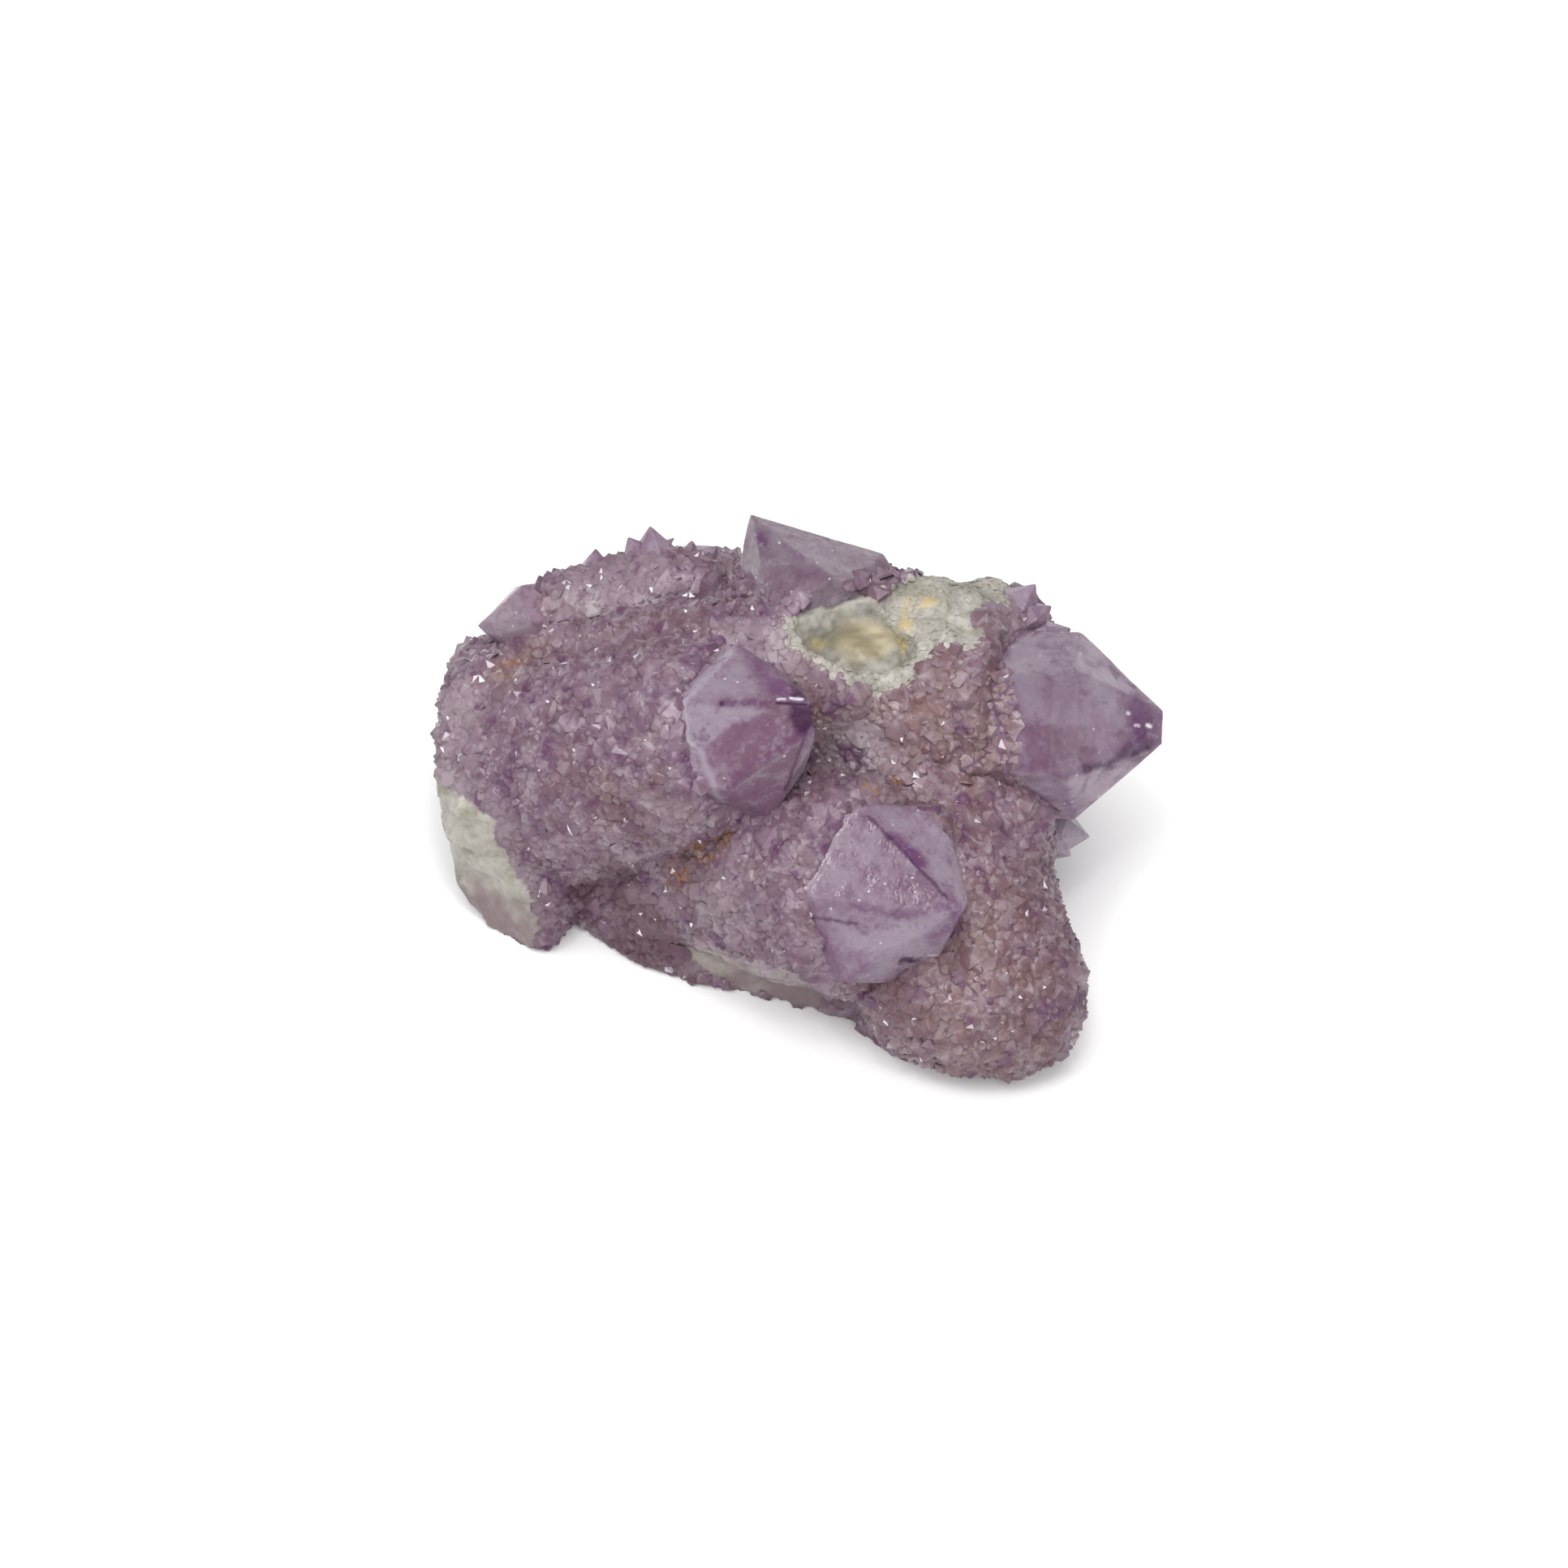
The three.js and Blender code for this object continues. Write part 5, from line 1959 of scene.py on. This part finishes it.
@dataclass
class Crust:
    """The crust of small crystals over the whole bed, in one piece for each host. Sizes in mm."""

    bed: Bed
    blushes: BlushMap
    finish: CrustFinish = CrustFinish()
    base_clearance: float = 0.6
    point_gap: float = 0.15
    lobe_reach: float = 1.5
    lean_share: float = 0.16
    scatter: float = 0.3

    def __post_init__(self) -> None:
        """Chooses where every crystal grows, the largest first."""
        self.rng = np.random.default_rng(SEED)
        spread = Spread(Grades.LARGE.value.spacing)
        kept: list[tuple[np.ndarray, ...]] = []
        for grade in (grades.value for grades in Grades):
            places, normals = self.bed.sample(self.rng, grade.tries)
            fit = self.suits(places)
            sites = [(places[fit], normals[fit])]
            if grade is not Grades.LARGE.value:
                sites += [point.overgrown(self.rng, grade.tries // 3) for point in CLEAR_POINTS]
            places, normals = (np.concatenate(part) for part in zip(*sites))
            taken = np.array([spread.take(place, grade.spacing) for place in places])
            places, normals = places[taken], normals[taken]
            radii = self.rng.uniform(*grade.radius, len(places))
            kept.append((places, normals, radii, self.rng.uniform(*grade.prism, len(places))))
        self.places, self.normals, self.radii, self.prisms = (np.concatenate(part) for part in zip(*kept))
        self.hosts = self.host_of(self.places)

    def suits(self, places: np.ndarray) -> np.ndarray:
        """Which places can carry a crystal of the crust.

        Args:
            places: Places on the bed.

        Returns:
            True for each that can.
        """
        fit = (places[:, 2] > self.base_clearance) & ~bare(places, BARE_MARGIN)
        for candle in CANDLES.values():
            fit &= ~candle.point.holds(places, self.point_gap)
        return fit

    def host_of(self, places: np.ndarray) -> np.ndarray:
        """The host that each place belongs to: the one whose middle line is nearest for its size.

        Args:
            places: Places on the bed and the points.

        Returns:
            The host of each, as its number in Host.
        """
        spines = [CANDLES[host].spine() for host in Host if host in CANDLES]
        lobe = MASSES["front_lobe"]
        spines.append((LAYOUT.place(lobe[0][:3]), LAYOUT.place(lobe[2][:3]), lobe[1][3] + self.lobe_reach))
        away = []
        for start, end, radius in spines:
            line = end - start
            share = np.clip((places - start) @ line / (line @ line), 0, 1)
            away.append(np.linalg.norm(places - start - share[:, None] * line, axis=1) - radius)
        return np.argmin(away, axis=0)

    def ways(self, chosen: np.ndarray, host: Host) -> np.ndarray:
        """The way each chosen crystal points: out, a little towards the candle's tip, and astray.

        Args:
            chosen: Which crystals.
            host: The host that they grow on.

        Returns:
            The way of each.
        """
        out = self.normals[chosen]
        astray = self.rng.normal(0, self.scatter, out.shape)
        along = CANDLES[host].point.axes.along * self.lean_share if host in CANDLES else 0
        return unit(out + astray + along)

    def build(self) -> None:
        """Builds and dresses each host's crust."""
        for number, host in enumerate(Host):
            chosen = self.hosts == number
            ways, radii, prisms = self.ways(chosen, host), self.radii[chosen], self.prisms[chosen]
            crystals = Crystals(self.places[chosen], ways, radii, prisms, self.rng)
            name = host.value + "_crust"
            made = shown(name, crystals.mesh(name))
            aim(made.data, "out", np.repeat(self.normals[chosen], crystals.corners, axis=0))
            self.blushes.mark(made.data, self.places[chosen], crystals.corners)
            dress(made, bpy.data.materials[self.finish.name])


@dataclass
class BrokenQuartz:
    """The sugary grains on the broken shoulder and round the pocket. Sizes in mm."""

    bed: Bed
    finish: BrokenFinish = BrokenFinish()
    spacing: float = 0.7
    radius: Pair = (0.4, 0.85)
    flatness: float = 0.3
    corner_range: Pair = (0.62, 1.15)
    stretch: Pair = (0.7, 1.25)
    reach: float = 26.0
    floor_size: Pair = (2.6, 1.4)
    base_clearance: float = 0.8
    point_gap: float = 0.3
    tries: int = 90000

    def __post_init__(self) -> None:
        """Chooses where the grains sit."""
        self.rng = np.random.default_rng(SEED + 1)
        places, normals = self.bed.sample(self.rng, self.tries)
        fit = bare(places, BARE_MARGIN) & (places[:, 2] > self.base_clearance) & self.round_pocket(places)
        for candle in CANDLES.values():
            fit &= ~candle.point.holds(places, self.point_gap)
        spread = Spread(self.spacing)
        places, normals = places[fit], normals[fit]
        taken = np.array([spread.take(place, self.spacing) for place in places])
        self.places, self.normals = places[taken], normals[taken]

    def round_pocket(self, places: np.ndarray) -> np.ndarray:
        """Which places are on the broken shoulder, or the pocket's rim and walls, but not its floor."""
        on_floor = np.linalg.norm((LAYOUT.seen(places)[:, :2] - POCKET_FLOOR) / self.floor_size, axis=1) < 1
        return (np.hypot(*(places[:, :2] - POCKET_CENTRE).T) < self.reach) & ~on_floor

    def build(self, effects: Effects) -> None:
        """Builds and dresses the grains as one piece.

        Args:
            effects: The shared shader groups.
        """
        corners, faces = ball(1)
        count, size, rng = len(self.places), len(corners), self.rng
        across = unit(np.cross(self.normals, rng.normal(size=(count, 3))))
        frames = np.stack([across, np.cross(self.normals, across), self.normals * self.flatness], axis=1)
        shapes = corners[None] * rng.uniform(*self.corner_range, (count, size, 1))
        shapes = shapes * rng.uniform(*self.stretch, (count, 1, 3)) * rng.uniform(*self.radius, (count, 1, 1))
        points = (np.einsum("nkd,nde->nke", shapes, frames) + self.places[:, None]).reshape(-1, 3)
        sides = [[k + n * size for k in face] for n in range(count) for face in faces]
        made = shown("broken_quartz", mesh_of("broken_quartz", points, sides))
        mark_break(made.data, points)
        aim(made.data, "out", np.repeat(self.normals, size, axis=0))
        dress(made, self.finish.material(effects))


@dataclass
class SmallPoints:
    """The few crystals that stand clear of the crust, as one piece. Sizes in mm."""

    turn: float = 15.0
    length: float = 7.0
    apothem_share: float = 0.87
    worn_edge: float = 0.07
    milk: Pair = (0.1, 0.9)
    milk_right_of: float = 30.0

    def build(self, effects: Effects) -> None:
        """Builds and dresses the crystals, the lowest ones at the right milkier than the others.

        Args:
            effects: The shared shader groups.
        """
        points = [
            QuartzPoint(tip, lean, self.turn, radius * self.apothem_share, (0,) * 6, self.length)
            for tip, lean, radius in SMALL_POINTS
        ]
        form = joined(hull(point.corners()) for point in points)
        made = shown("small_points", mesh_of("small_points", *form))
        worn = made.modifiers.new("Worn edges", "BEVEL")
        worn.width, worn.segments, worn.limit_method = self.worn_edge * MM, 1, "ANGLE"
        settle(made)
        seen = LAYOUT.seen(read(made.data, "co") / MM)
        low_right = (seen[:, 0] > self.milk_right_of) & (seen[:, 1] < 0)
        mark(made.data, "milk", np.where(low_right, self.milk[1], self.milk[0]))
        finish = PointFinish("small point quartz", points[0], tip_none=0.5, tip_share=0.0)
        dress(made, finish.material(effects))


@dataclass(frozen=True)
class Lamp:
    """A soft light: where it stands round the cluster, its size and its power."""

    name: str
    azimuth: float
    elevation: float
    distance: float
    size: float
    power: float


@dataclass(frozen=True)
class Studio:
    """A pale floor, soft lights and the camera."""

    lamps: tuple[Lamp, ...] = (
        Lamp("overhead", 0, 88, 0.8, 0.9, 5.8),
        Lamp("left", 250, 48, 0.9, 0.6, 2.6),
        Lamp("front", 163, 32, 1.0, 0.8, 4.4),
        Lamp("spark left", 235, 62, 0.9, 0.12, 0.6),
        Lamp("spark right", 140, 55, 0.9, 0.12, 0.6),
        Lamp("spark high", 185, 75, 0.9, 0.12, 0.6),
    )
    world: Colour = (1.0, 1.0, 1.0, 1.0)
    world_strength: float = 0.45
    floor: Colour = (0.86, 0.86, 0.86, 1.0)
    floor_roughness: float = 0.9
    floor_specular: float = 0.1
    floor_reach: float = 3.0
    floor_drop: float = 0.05
    camera_distance: float = 1.5
    frame_width: float = 193.2
    sensor: float = 36.0
    aim: Vector = field(default_factory=lambda: Vector(LAYOUT.middle * MM))

    def build(self) -> None:
        """Builds the floor, the lights and the camera."""
        self.add_floor()
        self.add_world()
        for lamp in self.lamps:
            self.add_lamp(lamp)
        self.add_camera()
        scene = bpy.context.scene
        scene.view_settings.view_transform = "Standard"
        scene.view_settings.look = "None"

    def add_floor(self) -> None:
        """Adds the pale floor just under the base."""
        form = bmesh.new()
        bmesh.ops.create_grid(form, x_segments=1, y_segments=1, size=self.floor_reach)
        mesh = bpy.data.meshes.new("floor")
        form.to_mesh(mesh)
        form.free()
        _, shader = new_material("pale floor")
        gloss = {"Roughness": self.floor_roughness, "Specular_IOR_Level": self.floor_specular}
        set_inputs(shader, Base_Color=self.floor, **gloss)
        made = shown("floor", mesh)
        made.location.z = -self.floor_drop * MM
        made.data.materials.append(bpy.data.materials["pale floor"])

    def add_world(self) -> None:
        """Adds even light from all round."""
        world = bpy.data.worlds.new("soft room")
        world.use_nodes = True
        set_inputs(world.node_tree.nodes["Background"], Color=self.world, Strength=self.world_strength)
        bpy.context.scene.world = world

    def add_lamp(self, lamp: Lamp) -> None:
        """Adds one soft light, aimed at the cluster.

        Args:
            lamp: The light.
        """
        data = bpy.data.lights.new(lamp.name, "AREA")
        data.shape, data.size, data.energy = "DISK", lamp.size, lamp.power
        made = bpy.data.objects.new(lamp.name, data)
        azimuth, elevation = math.radians(lamp.azimuth), math.radians(lamp.elevation)
        flat = math.cos(elevation)
        way = Vector((math.sin(azimuth) * flat, math.cos(azimuth) * flat, math.sin(elevation)))
        made.location = self.aim + way * lamp.distance
        made.rotation_euler = way.to_track_quat("Z", "Y").to_euler()
        bpy.context.scene.collection.objects.link(made)

    def add_camera(self) -> None:
        """Adds the camera at the photo's viewing angle."""
        data = bpy.data.cameras.new("camera")
        data.sensor_width = self.sensor
        data.lens = self.sensor * self.camera_distance / (self.frame_width * MM)
        data.clip_end = 20.0
        made = bpy.data.objects.new("camera", data)
        move = Matrix.Translation(self.aim + Vector(TOWARD) * self.camera_distance)
        made.matrix_world = move @ Matrix(LAYOUT.turn.tolist()).to_4x4()
        bpy.context.scene.collection.objects.link(made)
        bpy.context.scene.camera = made


def main() -> None:
    """Builds the studio and the cluster, piece by piece."""
    logging.basicConfig(level=logging.INFO, format="%(name)s %(message)s")
    Studio().build()
    effects = Effects()
    bed = Bed()
    blushes = BlushMap(bed)
    crust = Crust(bed, blushes)
    crust.finish.material(effects)
    bed.dress(crust.finish, blushes)
    crust.build()
    BrokenQuartz(bed).build(effects)
    for point in CLEAR_POINTS:
        point.build(effects)
    SmallPoints().build(effects)


if __name__ == "__main__":
    main()
